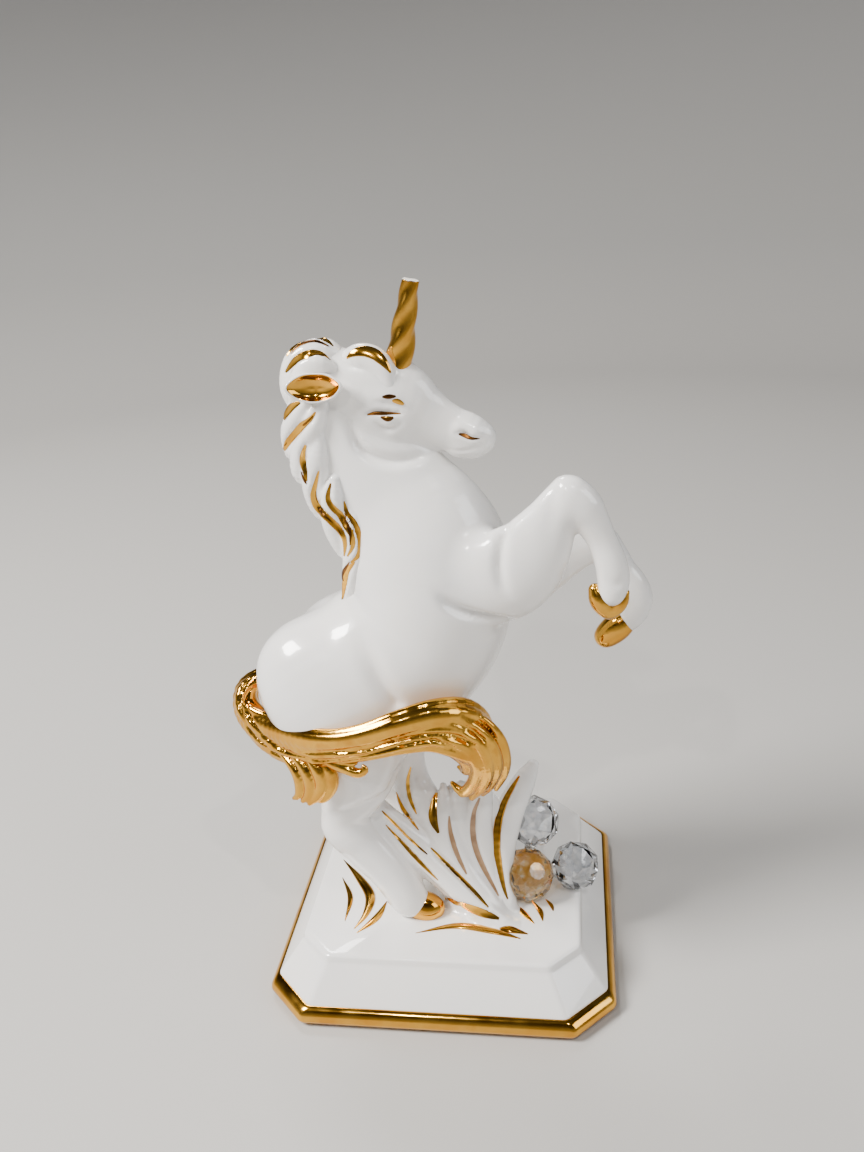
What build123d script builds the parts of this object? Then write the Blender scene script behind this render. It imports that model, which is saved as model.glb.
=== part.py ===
from build123d import *
import math
import os

# A rearing unicorn in glazed porcelain with gold lustre, on a stepped plinth with
# three cut crystal beads. Millimetres, +Z up. The origin is the middle of the plinth
# on the table, the animal faces +X and its near side faces -Y.

# Plinth, a hollow casting that is open underneath
plinth_width = 88.0
plinth_depth = 85.2
plinth_height = 15.4
plinth_wall = 3.5
foot_corner = 10.0
top_corner = 7.7
crease_height = 13.6
crease_inset = 8.4
top_inset = 9.0

# Gilt moulding round the foot of the plinth
rim_thickness = 2.1
rim_height = 5.3
rim_lift = 0.6
rim_round = 0.9
rim_belly_height = 1.9
rim_slope_share = 0.25

# The animal, whose stations are shares of these three
figure_height = 147.0
stance_width = 22.0
body_centre_y = -4.0

# Thickest radius of each part of the body
barrel_radius = 23.0
neck_radius = 18.2
head_radius = 9.9
thigh_radius = 15.5
hind_cannon_radius = 6.2
hind_hoof_radius = 5.4
upper_arm_radius = 11.0
fore_cannon_radius = 4.6
fore_hoof_radius = 3.6
lock_radius = 4.5
tail_radius = 8.0
tail_curl_radius = 3.0

# Ears
ear_length = 11.6
ear_width = 5.6
ear_thickness = 4.4
ear_cup_wall = 0.8

# Horn, whose tip is broken off square
horn_length = 21.5
horn_base_radius = 3.1
horn_tip_radius = 2.0
horn_ridge = 0.35

# Grass clump and the low relief on the ground
column_radius = 7.0
fan_radius = 11.4
blade_radius = 4.5
leaf_radius = 4.0
tuft_radius = 2.4

# Cut crystal beads and the clear adhesive between them
large_bead_diameter = 14.0
small_bead_diameter = 13.0
adhesive_radius = 1.6

# Full forms before seating, and the seated pieces
stocks = {}
pieces = {}

# Latitudes of a bead's facet rings in degrees, and its sides
coarse_facet_rings = (-60, -21, 21, 60)
fine_facet_rings = (-68, -40, -13, 13, 40, 68)
coarse_facet_sides = 8
fine_facet_sides = 12


def main_solid(shape):
    """The largest solid of a shape."""
    solids = shape.solids()
    if len(solids) == 1:
        return solids[0]
    return max(solids, key=lambda solid: solid.volume)


def apart(one, other):
    """True when the boxes of two shapes don't meet."""
    a = one.bounding_box(optimal=False)
    b = other.bounding_box(optimal=False)
    gaps = (
        max(a.min.X - b.max.X, b.min.X - a.max.X),
        max(a.min.Y - b.max.Y, b.min.Y - a.max.Y),
        max(a.min.Z - b.max.Z, b.min.Z - a.max.Z),
    )
    return max(gaps) > 0


def seat(name, stock, *neighbours):
    """Adds a piece: its full form, less the full forms of neighbours already set.

    The piece then meets them face to face."""
    piece = stock
    for key in neighbours:
        if not apart(piece, stocks[key]):
            piece = main_solid(piece - stocks[key])
    stocks[name] = stock
    pieces[name] = piece


def station_point(row):
    """The place of a station, from its shares of the figure's height and stance."""
    along_share, across_share, up_share = row[:3]
    return Vector(
        along_share * figure_height,
        body_centre_y + across_share * stance_width,
        plinth_height + up_share * figure_height,
    )


def limb(shares, radius, across=Vector(0, 1, 0)):
    """A loft through ellipses that stand square to the line of their centres.

    A row is along, across and up, then the ellipse's radius as a share of the
    part's radius, then its flatness towards the across direction."""
    centres = [station_point(row) for row in shares]
    last = len(centres) - 1
    sections = []
    for index, row in enumerate(shares):
        ahead = centres[min(index + 1, last)]
        behind = centres[max(index - 1, 0)]
        run = (ahead - behind).normalized()
        level = across.cross(run).normalized()
        plane = Plane(origin=centres[index], x_dir=level, z_dir=run)
        girth = radius * row[3]
        sections.append(plane * Ellipse(girth, girth * row[4]))
    return main_solid(loft(sections))


def mirrored(shares, shift_share=0.0):
    """The same stations on the far side, moved forward by a share of the height."""
    return [(row[0] + shift_share, -row[1], row[2], row[3], row[4]) for row in shares]


# Plinth


def plinth_outline(inset, corner, height):
    """The plinth's plan, a rectangle with its corners cut off, at one height."""
    half_width = plinth_width / 2 - inset
    half_depth = plinth_depth / 2 - inset
    corner_cut = [
        (half_width, half_depth - corner),
        (half_width - corner, half_depth),
    ]
    back = corner_cut + [(-x, y) for x, y in reversed(corner_cut)]
    points = back + [(-x, -y) for x, y in back]
    outline = Polyline(*points, close=True)
    return Pos(0, 0, height) * make_face(outline)


def plinth_stack(levels):
    """A solid with flat sides through (inset, corner, height) levels."""
    return main_solid(loft([plinth_outline(*level) for level in levels], ruled=True))


casting = plinth_stack([
    (rim_thickness, foot_corner, 0),
    (rim_thickness, foot_corner, rim_height),
    (crease_inset, top_corner, crease_height),
    (top_inset, top_corner, plinth_height),
])
cavity = plinth_stack([
    (rim_thickness + plinth_wall, foot_corner, 0),
    (rim_thickness + plinth_wall, foot_corner, rim_height),
    (crease_inset + plinth_wall, top_corner, plinth_height - plinth_wall),
])
stocks["plinth"] = casting
pieces["plinth"] = main_solid(casting - cavity)

rim_stock = plinth_stack([
    (rim_round, foot_corner, rim_lift),
    (0, foot_corner, rim_belly_height),
    (rim_thickness * rim_slope_share, foot_corner, rim_height - rim_round),
    (rim_thickness - rim_round, foot_corner, rim_height),
])
rim_core = plinth_stack([
    (rim_thickness, foot_corner, 0),
    (rim_thickness, foot_corner, plinth_height),
])
pieces["gilt_rim"] = main_solid(rim_stock - rim_core)

# Barrel and neck
barrel_shares = [
    (-0.170, 0.00, 0.361, 0.46, 0.82),
    (-0.151, 0.00, 0.381, 0.75, 0.84),
    (-0.127, 0.00, 0.418, 0.92, 0.86),
    (-0.084, 0.00, 0.452, 0.93, 0.88),
    (-0.043, 0.00, 0.489, 0.88, 0.90),
    (-0.007, 0.00, 0.534, 0.83, 0.90),
    (0.007, 0.00, 0.588, 0.82, 0.88),
    (0.008, 0.00, 0.637, 0.77, 0.82),
    (0.005, 0.00, 0.678, 0.62, 0.78),
    (0.003, 0.00, 0.701, 0.35, 0.78),
]
neck_shares = [
    (0.007, 0.00, 0.610, 0.93, 0.74),
    (0.004, 0.00, 0.650, 1.00, 0.72),
    (-0.010, 0.00, 0.691, 0.97, 0.64),
    (-0.035, 0.00, 0.729, 0.90, 0.56),
    (-0.068, 0.00, 0.777, 0.84, 0.50),
    (-0.095, 0.00, 0.827, 0.74, 0.48),
    (-0.116, 0.00, 0.875, 0.62, 0.50),
    (-0.131, 0.00, 0.922, 0.46, 0.56),
    (-0.135, 0.00, 0.960, 0.31, 0.68),
    (-0.135, 0.00, 0.980, 0.14, 0.80),
]
seat("barrel", limb(barrel_shares, barrel_radius))
seat("neck", limb(neck_shares, neck_radius), "barrel")

# Hind legs, thigh to pastern, with the gilt hooves that stand on the plinth
thigh_shares = [
    (-0.207, -0.18, 0.484, 0.52, 0.80),
    (-0.195, -0.32, 0.457, 0.92, 0.75),
    (-0.167, -0.45, 0.416, 0.99, 0.70),
    (-0.139, -0.50, 0.368, 0.83, 0.72),
    (-0.129, -0.50, 0.303, 0.67, 0.72),
    (-0.140, -0.50, 0.256, 0.53, 0.75),
    (-0.159, -0.50, 0.212, 0.41, 0.80),
    (-0.166, -0.50, 0.178, 0.37, 0.80),
    (-0.165, -0.51, 0.147, 0.28, 0.85),
]
hind_cannon_shares = [
    (-0.173, -0.50, 0.191, 0.52, 0.85),
    (-0.159, -0.51, 0.169, 1.00, 0.82),
    (-0.133, -0.53, 0.135, 0.95, 0.80),
    (-0.090, -0.56, 0.082, 0.89, 0.85),
    (-0.063, -0.59, 0.040, 0.90, 0.90),
    (-0.048, -0.59, 0.022, 0.87, 0.92),
]
hind_hoof_shares = [
    (-0.048, -0.59, 0.022, 0.96, 0.95),
    (-0.034, -0.59, 0.007, 1.00, 0.95),
    (-0.020, -0.59, -0.011, 0.89, 0.95),
]
far_hind_shift_share = 0.045

legs_set = []
for place in ("near", "far"):
    tables = [thigh_shares, hind_cannon_shares, hind_hoof_shares]
    if place == "far":
        tables = [mirrored(shares, far_hind_shift_share) for shares in tables]
    leg = limb(tables[0], thigh_radius) + limb(tables[1], hind_cannon_radius)
    seat("hind_leg_" + place, main_solid(leg), "barrel", "plinth", *legs_set)
    hoof = limb(tables[2], hind_hoof_radius)
    seat("hind_hoof_" + place, hoof, "hind_leg_" + place, "plinth")
    legs_set.append("hind_leg_" + place)

# Forelegs, folded at the knee
near_upper_arm_shares = [
    (0.068, -0.27, 0.610, 0.73, 0.70),
    (0.095, -0.36, 0.631, 1.00, 0.60),
    (0.133, -0.43, 0.645, 0.98, 0.55),
    (0.167, -0.46, 0.678, 0.80, 0.52),
    (0.196, -0.48, 0.724, 0.56, 0.62),
    (0.215, -0.48, 0.755, 0.45, 0.75),
    (0.224, -0.48, 0.774, 0.36, 0.85),
    (0.231, -0.48, 0.788, 0.18, 0.90),
]
near_fore_cannon_shares = [
    (0.214, -0.48, 0.763, 0.61, 0.85),
    (0.227, -0.48, 0.769, 0.96, 0.85),
    (0.244, -0.48, 0.756, 1.00, 0.85),
    (0.258, -0.48, 0.735, 0.85, 0.85),
    (0.274, -0.48, 0.702, 0.72, 0.85),
    (0.287, -0.48, 0.667, 0.76, 0.90),
    (0.292, -0.48, 0.637, 0.78, 0.90),
    (0.290, -0.48, 0.613, 0.72, 0.95),
]
near_fore_hoof_shares = [
    (0.290, -0.48, 0.618, 0.86, 0.95),
    (0.287, -0.48, 0.601, 1.00, 0.95),
    (0.283, -0.48, 0.584, 0.86, 0.95),
    (0.281, -0.48, 0.576, 0.50, 0.95),
]
far_upper_arm_shares = [
    (0.095, 0.23, 0.576, 0.73, 0.70),
    (0.122, 0.32, 0.588, 0.91, 0.60),
    (0.170, 0.41, 0.603, 0.75, 0.60),
    (0.211, 0.45, 0.622, 0.60, 0.65),
    (0.252, 0.48, 0.638, 0.47, 0.75),
    (0.275, 0.49, 0.641, 0.38, 0.80),
    (0.293, 0.49, 0.641, 0.20, 0.85),
]
far_fore_cannon_shares = [
    (0.265, 0.49, 0.644, 0.57, 0.85),
    (0.279, 0.49, 0.635, 0.91, 0.85),
    (0.295, 0.49, 0.614, 0.87, 0.85),
    (0.310, 0.49, 0.592, 0.76, 0.85),
    (0.329, 0.49, 0.562, 0.83, 0.85),
    (0.337, 0.49, 0.536, 0.83, 0.90),
    (0.331, 0.49, 0.510, 0.74, 0.90),
    (0.318, 0.49, 0.495, 0.65, 0.95),
]
far_fore_hoof_shares = [
    (0.320, 0.49, 0.498, 0.78, 0.95),
    (0.305, 0.49, 0.486, 0.97, 0.95),
    (0.288, 0.49, 0.469, 0.83, 0.95),
    (0.280, 0.49, 0.463, 0.44, 0.95),
]
forelegs = {
    "near": (near_upper_arm_shares, near_fore_cannon_shares, near_fore_hoof_shares),
    "far": (far_upper_arm_shares, far_fore_cannon_shares, far_fore_hoof_shares),
}
for place, (arm_shares, cannon_shares, hoof_shares) in forelegs.items():
    leg = limb(arm_shares, upper_arm_radius) + limb(cannon_shares, fore_cannon_radius)
    seat("foreleg_" + place, main_solid(leg), "barrel", "neck")
    seat("fore_hoof_" + place, limb(hoof_shares, fore_hoof_radius), "foreleg_" + place)

# Head
head_shares = [
    (-0.133, 0.00, 0.939, 0.56, 0.66),
    (-0.105, 0.00, 0.936, 0.90, 0.64),
    (-0.071, 0.00, 0.922, 1.00, 0.62),
    (-0.037, 0.00, 0.901, 0.99, 0.60),
    (-0.008, 0.00, 0.883, 0.82, 0.58),
    (0.020, 0.00, 0.869, 0.65, 0.58),
    (0.051, 0.00, 0.856, 0.53, 0.62),
    (0.076, 0.00, 0.848, 0.48, 0.70),
    (0.093, 0.00, 0.841, 0.39, 0.74),
    (0.103, 0.00, 0.837, 0.16, 0.80),
]
seat("head", limb(head_shares, head_radius), "neck")

# Ears, two cupped almonds laid back against the crest
ear_seat_share = (-0.138, 0.30, 0.939)
ear_taper_shares = (0.08, 0.62, 0.95, 1.0, 0.86, 0.50, 0.06)


def almond(length, width, thickness):
    """A closed almond along X, pointed at both ends."""
    steps = len(ear_taper_shares) - 1
    sections = []
    for index, taper_share in enumerate(ear_taper_shares):
        half_width = width / 2 * taper_share
        plane = Plane(
            origin=((index / steps - 1 / 2) * length, 0, 0),
            x_dir=(0, 0, 1),
            z_dir=(1, 0, 0),
        )
        sections.append(plane * Ellipse(half_width, half_width * thickness / width))
    return main_solid(loft(sections))


for place, outward in (("near", -1), ("far", 1)):
    along_share, across_share, up_share = ear_seat_share
    ear_seat = station_point((along_share, outward * across_share, up_share))
    shell = Pos(ear_seat) * almond(ear_length, ear_width, ear_thickness)
    hollow = almond(
        ear_length - 2 * ear_cup_wall,
        ear_width - 2 * ear_cup_wall,
        ear_thickness,
    )
    mouth = ear_seat + Vector(0, outward * ear_thickness / 2, 0)
    ear = main_solid(shell - Pos(mouth) * hollow)
    seat("ear_" + place, ear, "head", "neck")

# Horn, a tapered three-strand twist
horn_seat_share = (-0.026, 0.0, 0.936)
horn_lean = 12.5
horn_sections = 25
horn_points = 12
horn_strands = 3
horn_turn = 30.0


def horn_slice(index):
    """The horn's lobed section at one height along it, turned with the twist."""
    rise_share = index / (horn_sections - 1)
    mean = horn_base_radius + (horn_tip_radius - horn_base_radius) * rise_share
    points = []
    for step in range(horn_points):
        angle = 2 * math.pi * step / horn_points
        lobe = math.cos(horn_strands * (angle - math.radians(index * horn_turn)))
        reach = mean + horn_ridge * lobe
        points.append((reach * math.cos(angle), reach * math.sin(angle)))
    outline = Spline(*points, periodic=True)
    return Pos(0, 0, rise_share * horn_length) * make_face(outline)


horn_frame = Pos(station_point(horn_seat_share)) * Rot(0, horn_lean, 0)
twist = main_solid(loft([horn_slice(index) for index in range(horn_sections)]))
seat("horn", horn_frame * twist, "head")

# Forelock and the locks of the mane, laid on in order from the poll down
forelock_shares = [
    (-0.095, -0.05, 0.967, 0.27, 0.90),
    (-0.078, -0.09, 0.971, 0.58, 0.90),
    (-0.056, -0.11, 0.969, 0.60, 0.90),
    (-0.040, -0.16, 0.955, 0.47, 0.90),
    (-0.033, -0.20, 0.936, 0.22, 0.90),
]
mane_lock_shares = [
    [
        (-0.085, 0.00, 0.967, 0.27, 0.90),
        (-0.105, -0.02, 0.977, 0.71, 0.90),
        (-0.136, -0.05, 0.974, 0.93, 0.95),
        (-0.165, -0.05, 0.961, 1.00, 0.95),
        (-0.177, -0.07, 0.933, 0.87, 0.95),
        (-0.182, -0.07, 0.905, 0.44, 0.95),
    ],
    [
        (-0.102, -0.20, 0.961, 0.20, 0.80),
        (-0.124, -0.23, 0.967, 0.53, 0.80),
        (-0.152, -0.23, 0.956, 0.62, 0.80),
        (-0.170, -0.20, 0.933, 0.53, 0.80),
        (-0.181, -0.18, 0.910, 0.22, 0.80),
    ],
    [
        (-0.154, -0.20, 0.919, 0.36, 0.80),
        (-0.171, -0.18, 0.898, 0.67, 0.80),
        (-0.186, -0.14, 0.865, 0.71, 0.80),
        (-0.195, -0.09, 0.835, 0.49, 0.80),
        (-0.199, -0.05, 0.818, 0.18, 0.80),
    ],
    [
        (-0.133, -0.25, 0.912, 0.27, 0.80),
        (-0.151, -0.25, 0.879, 0.58, 0.80),
        (-0.170, -0.18, 0.841, 0.71, 0.80),
        (-0.181, -0.14, 0.803, 0.60, 0.80),
        (-0.178, -0.09, 0.776, 0.22, 0.80),
    ],
    [
        (-0.144, -0.27, 0.856, 0.27, 0.80),
        (-0.152, -0.25, 0.822, 0.62, 0.80),
        (-0.159, -0.20, 0.781, 0.73, 0.80),
        (-0.155, -0.16, 0.743, 0.62, 0.80),
        (-0.143, -0.14, 0.716, 0.22, 0.80),
    ],
    [
        (-0.127, -0.30, 0.793, 0.27, 0.80),
        (-0.133, -0.30, 0.761, 0.62, 0.80),
        (-0.133, -0.25, 0.722, 0.73, 0.80),
        (-0.124, -0.20, 0.680, 0.62, 0.80),
        (-0.114, -0.18, 0.650, 0.22, 0.80),
    ],
    [
        (-0.112, -0.30, 0.748, 0.27, 0.80),
        (-0.105, -0.32, 0.716, 0.62, 0.80),
        (-0.103, -0.30, 0.675, 0.71, 0.80),
        (-0.116, -0.23, 0.626, 0.58, 0.80),
        (-0.132, -0.16, 0.586, 0.27, 0.80),
    ],
]
seat("forelock", limb(forelock_shares, lock_radius), "head", "neck", "horn")
laid = ["head", "neck", "barrel", "ear_near"]
for index, shares in enumerate(mane_lock_shares):
    name = "mane_lock_" + str(index + 1)
    seat(name, limb(shares, lock_radius), *laid)
    laid.append(name)

# Tail, swept round the near thigh, with its side lock and its little curl
tail_shares = [
    (-0.272, 0.00, 0.433, 0.30, 0.80),
    (-0.303, -0.02, 0.430, 0.40, 0.80),
    (-0.328, -0.09, 0.408, 0.55, 0.70),
    (-0.324, -0.23, 0.378, 0.70, 0.60),
    (-0.294, -0.41, 0.359, 0.78, 0.50),
    (-0.252, -0.61, 0.358, 0.78, 0.50),
    (-0.197, -0.86, 0.370, 0.68, 0.50),
    (-0.141, -1.02, 0.386, 0.55, 0.55),
    (-0.088, -1.07, 0.400, 0.57, 0.55),
    (-0.034, -1.05, 0.415, 0.68, 0.55),
    (0.014, -0.95, 0.418, 0.78, 0.55),
    (0.050, -0.82, 0.400, 0.88, 0.60),
    (0.073, -0.68, 0.366, 0.88, 0.60),
    (0.083, -0.57, 0.325, 0.78, 0.60),
    (0.083, -0.45, 0.283, 0.60, 0.60),
    (0.073, -0.36, 0.245, 0.35, 0.60),
]
side_lock_shares = [
    (-0.224, -0.70, 0.358, 0.56, 0.70),
    (-0.212, -0.77, 0.328, 0.93, 0.70),
    (-0.199, -0.84, 0.301, 0.89, 0.70),
    (-0.193, -0.89, 0.280, 0.67, 0.70),
    (-0.188, -0.89, 0.265, 0.27, 0.70),
]
tail_curl_shares = [
    (-0.133, -1.05, 0.385, 0.53, 0.80),
    (-0.114, -1.09, 0.367, 0.73, 0.80),
    (-0.098, -1.14, 0.352, 0.60, 0.80),
    (-0.087, -1.14, 0.354, 0.30, 0.80),
]
seat("tail", limb(tail_shares, tail_radius), "barrel", "hind_leg_near")
seat("tail_side_lock", limb(side_lock_shares, lock_radius), "tail", "hind_leg_near")
seat("tail_curl", limb(tail_curl_shares, tail_curl_radius), "tail", "hind_leg_near")

# Crystal beads, set touching each other
champagne_seat_share = (0.245, -0.103)
right_bead_bearing = 22.3
back_bead_bearing = 82.4
back_bead_climb = 39.9


def cut_bead(diameter, rings, sides):
    """A bead with flat facets between rings of latitude, and a flat on each pole."""
    widest = min(abs(latitude) for latitude in rings)
    radius = diameter / 2 / math.cos(math.radians(widest))
    layers = []
    for latitude in rings:
        turn = math.radians(latitude)
        layers.append(
            Pos(0, 0, diameter / 2 * math.sin(turn))
            * RegularPolygon(radius * math.cos(turn), sides)
        )
    return main_solid(loft(layers, ruled=True))


def bead_rest_height(diameter, rings):
    """The height of a bead's middle over the flat that it stands on."""
    return diameter / 2 * math.sin(math.radians(max(rings)))


def beyond(centre, reach, bearing, climb):
    """The point at a distance from a centre, by bearing and climb in degrees."""
    level = reach * math.cos(math.radians(climb))
    return centre + Vector(
        level * math.cos(math.radians(bearing)),
        level * math.sin(math.radians(bearing)),
        reach * math.sin(math.radians(climb)),
    )


champagne_centre = Vector(
    champagne_seat_share[0] * plinth_width,
    champagne_seat_share[1] * plinth_depth,
    plinth_height + bead_rest_height(large_bead_diameter, fine_facet_rings),
)
right_reach = (large_bead_diameter + small_bead_diameter) / 2
right_centre = beyond(champagne_centre, right_reach, right_bead_bearing, 0)
right_centre.Z = plinth_height + bead_rest_height(small_bead_diameter, coarse_facet_rings)
back_centre = beyond(
    champagne_centre, large_bead_diameter, back_bead_bearing, back_bead_climb
)
bead_names = ["bead_champagne", "bead_clear_right", "bead_clear_back"]
seat("bead_champagne", Pos(champagne_centre) * cut_bead(
    large_bead_diameter, fine_facet_rings, fine_facet_sides
))
seat("bead_clear_right", Pos(right_centre) * cut_bead(
    small_bead_diameter, coarse_facet_rings, coarse_facet_sides
))
seat("bead_clear_back", Pos(back_centre) * cut_bead(
    large_bead_diameter, coarse_facet_rings, coarse_facet_sides
))

# Grass clump: the column that carries the belly, the fan with five blades laid on it,
# and the tall leaf
column_shares = [
    (-0.048, 0.14, 0.344, 0.64, 0.80),
    (-0.050, 0.09, 0.290, 0.66, 0.80),
    (-0.050, 0.02, 0.235, 0.71, 0.80),
    (-0.038, -0.05, 0.181, 0.86, 0.80),
    (-0.007, -0.09, 0.113, 1.00, 0.80),
    (0.031, -0.18, 0.045, 0.93, 0.80),
    (0.051, -0.23, -0.006, 0.71, 0.80),
]
fan_shares = [
    (0.105, -0.39, -0.014, 0.35, 0.60),
    (0.088, -0.30, 0.018, 0.48, 0.50),
    (0.061, -0.16, 0.072, 0.75, 0.36),
    (0.044, -0.04, 0.133, 0.96, 0.28),
    (0.035, 0.04, 0.188, 1.00, 0.26),
    (0.033, 0.06, 0.225, 0.83, 0.26),
    (0.031, 0.07, 0.242, 0.48, 0.30),
]
blade_shares = [
    [
        (-0.097, -0.41, 0.181, 0.16, 0.90),
        (-0.064, -0.42, 0.137, 0.44, 0.90),
        (-0.020, -0.48, 0.094, 0.62, 0.90),
        (0.034, -0.57, 0.046, 0.71, 0.90),
        (0.082, -0.66, 0.011, 0.64, 0.90),
        (0.112, -0.73, -0.012, 0.49, 0.90),
    ],
    [
        (-0.042, -0.14, 0.229, 0.18, 0.90),
        (-0.027, -0.18, 0.181, 0.53, 0.90),
        (-0.004, -0.27, 0.130, 0.76, 0.90),
        (0.033, -0.39, 0.068, 0.87, 0.90),
        (0.075, -0.52, 0.018, 0.80, 0.90),
        (0.095, -0.59, -0.010, 0.67, 0.90),
    ],
    [
        (-0.011, -0.05, 0.232, 0.20, 0.90),
        (-0.003, -0.14, 0.191, 0.58, 0.90),
        (0.010, -0.27, 0.132, 0.73, 0.90),
        (0.041, -0.41, 0.067, 0.80, 0.90),
        (0.084, -0.52, 0.016, 0.73, 0.90),
        (0.102, -0.59, -0.012, 0.62, 0.90),
    ],
    [
        (0.029, -0.07, 0.250, 0.27, 0.90),
        (0.030, -0.09, 0.212, 0.67, 0.90),
        (0.034, -0.16, 0.143, 0.82, 0.90),
        (0.054, -0.30, 0.071, 0.82, 0.90),
        (0.090, -0.44, 0.016, 0.73, 0.90),
        (0.105, -0.50, -0.012, 0.62, 0.90),
    ],
    [
        (0.082, -0.18, 0.242, 0.27, 0.90),
        (0.072, -0.18, 0.205, 0.62, 0.90),
        (0.065, -0.20, 0.139, 0.76, 0.90),
        (0.075, -0.30, 0.072, 0.76, 0.90),
        (0.098, -0.43, 0.015, 0.67, 0.90),
        (0.109, -0.49, -0.012, 0.56, 0.90),
    ],
]
leaf_shares = [
    (0.161, 0.23, 0.242, 0.23, 0.70),
    (0.140, 0.16, 0.204, 0.65, 0.65),
    (0.116, 0.06, 0.158, 0.95, 0.60),
    (0.101, -0.06, 0.110, 1.00, 0.60),
    (0.098, -0.20, 0.063, 0.90, 0.65),
    (0.109, -0.38, 0.014, 0.75, 0.75),
    (0.118, -0.45, -0.012, 0.60, 0.80),
]
standing = [
    "plinth",
    "barrel",
    "hind_hoof_near",
    "hind_hoof_far",
    "hind_leg_near",
    "hind_leg_far",
    "tail",
]
standing += bead_names
grass = {
    "grass_column": (column_shares, column_radius),
    "grass_fan": (fan_shares, fan_radius),
    "grass_leaf_tall": (leaf_shares, leaf_radius),
}
for index, shares in enumerate(blade_shares):
    grass["grass_blade_" + str(index + 1)] = (shares, blade_radius)
for name, (shares, radius) in grass.items():
    seat(name, limb(shares, radius), *standing)
    standing.append(name)

# Low ridges on the ground, gilded
tuft_shares = {
    "ground_tuft_left": [
        [
            (-0.211, 0.29, 0.000, 0.29, 1.00),
            (-0.170, -0.05, 0.001, 0.83, 0.60),
            (-0.140, -0.36, 0.001, 1.00, 0.60),
            (-0.139, -0.67, 0.001, 0.83, 0.60),
            (-0.153, -0.94, -0.001, 0.33, 1.00),
        ],
        [
            (-0.202, -0.05, 0.000, 0.25, 1.00),
            (-0.176, -0.41, 0.001, 0.58, 0.60),
            (-0.173, -0.82, -0.001, 0.25, 1.00),
        ],
        [
            (-0.106, -0.44, 0.000, 0.25, 1.00),
            (-0.118, -0.74, 0.001, 0.67, 0.60),
            (-0.147, -1.00, -0.001, 0.29, 1.00),
        ],
    ],
    "ground_tuft_front": [
        [
            (-0.045, -0.95, 0.000, 0.21, 1.00),
            (0.026, -0.81, 0.001, 0.62, 0.60),
            (0.088, -0.86, 0.001, 0.71, 0.60),
            (0.140, -0.98, 0.000, 0.29, 1.00),
        ],
        [
            (0.003, -0.38, 0.008, 0.25, 1.00),
            (0.058, -0.61, 0.011, 1.00, 0.60),
            (0.109, -0.75, 0.005, 1.00, 0.60),
            (0.152, -0.82, 0.000, 0.33, 1.00),
        ],
    ],
    "ground_tuft_right": [
        [
            (0.113, -0.34, 0.003, 0.25, 1.00),
            (0.140, -0.55, 0.003, 0.58, 0.60),
            (0.162, -0.73, 0.000, 0.25, 1.00),
        ],
        [
            (0.154, -0.33, 0.000, 0.21, 1.00),
            (0.170, -0.51, 0.001, 0.46, 0.60),
            (0.176, -0.68, 0.000, 0.21, 1.00),
        ],
        [
            (0.178, -0.29, 0.000, 0.21, 1.00),
            (0.189, -0.40, 0.001, 0.38, 0.60),
            (0.193, -0.51, 0.000, 0.21, 1.00),
        ],
    ],
}
for name, ridges in tuft_shares.items():
    group = []
    for index, shares in enumerate(ridges):
        ridge_name = name + str(index)
        seat(ridge_name, limb(shares, tuft_radius, Vector(0, 0, 1)), *standing)
        standing.append(ridge_name)
        group.append(pieces.pop(ridge_name))
    pieces[name] = Compound(children=group)

# Clear adhesive where the beads meet
dabs = []
for other_centre in (right_centre, back_centre):
    dab = Pos((champagne_centre + other_centre) / 2) * Sphere(adhesive_radius)
    for key in bead_names:
        dab = main_solid(dab - stocks[key])
    dabs.append(dab)
pieces["bead_adhesive"] = Compound(children=dabs)

os.makedirs("parts", exist_ok=True)
for name, piece in pieces.items():
    export_step(piece, "parts/" + name + ".step")
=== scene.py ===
"""A rearing porcelain unicorn with a gilded tail, on a gilt-rimmed plinth with grass and cut glass beads.

Lengths in this script are millimetres, +Z up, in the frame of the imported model.
"""

import math

import bpy
import numpy as np
from mathutils import Matrix, Vector
from mathutils.bvhtree import BVHTree
from mathutils.kdtree import KDTree


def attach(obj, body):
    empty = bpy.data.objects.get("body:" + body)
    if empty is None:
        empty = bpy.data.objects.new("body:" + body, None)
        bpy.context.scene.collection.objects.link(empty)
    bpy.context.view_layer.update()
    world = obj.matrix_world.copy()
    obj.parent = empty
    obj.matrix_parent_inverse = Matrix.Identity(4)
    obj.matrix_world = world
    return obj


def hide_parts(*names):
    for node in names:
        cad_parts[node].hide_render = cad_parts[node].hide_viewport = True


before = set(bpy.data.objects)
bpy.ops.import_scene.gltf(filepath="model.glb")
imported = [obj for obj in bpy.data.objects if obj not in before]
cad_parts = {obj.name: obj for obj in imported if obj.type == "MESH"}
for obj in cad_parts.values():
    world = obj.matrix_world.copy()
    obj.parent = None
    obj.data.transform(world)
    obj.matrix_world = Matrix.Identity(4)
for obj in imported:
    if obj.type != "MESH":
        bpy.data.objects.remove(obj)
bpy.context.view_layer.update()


# The plinth is a slip-cast porcelain block, hollow below, with cut corners, a sloping skirt and a
# low step under its flat top. Clear glaze over the white body rounds every edge.
MM = 0.001
plinth_half = (44.0, 42.6)
plinth_top = 15.4
corner_round = 1.1
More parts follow.
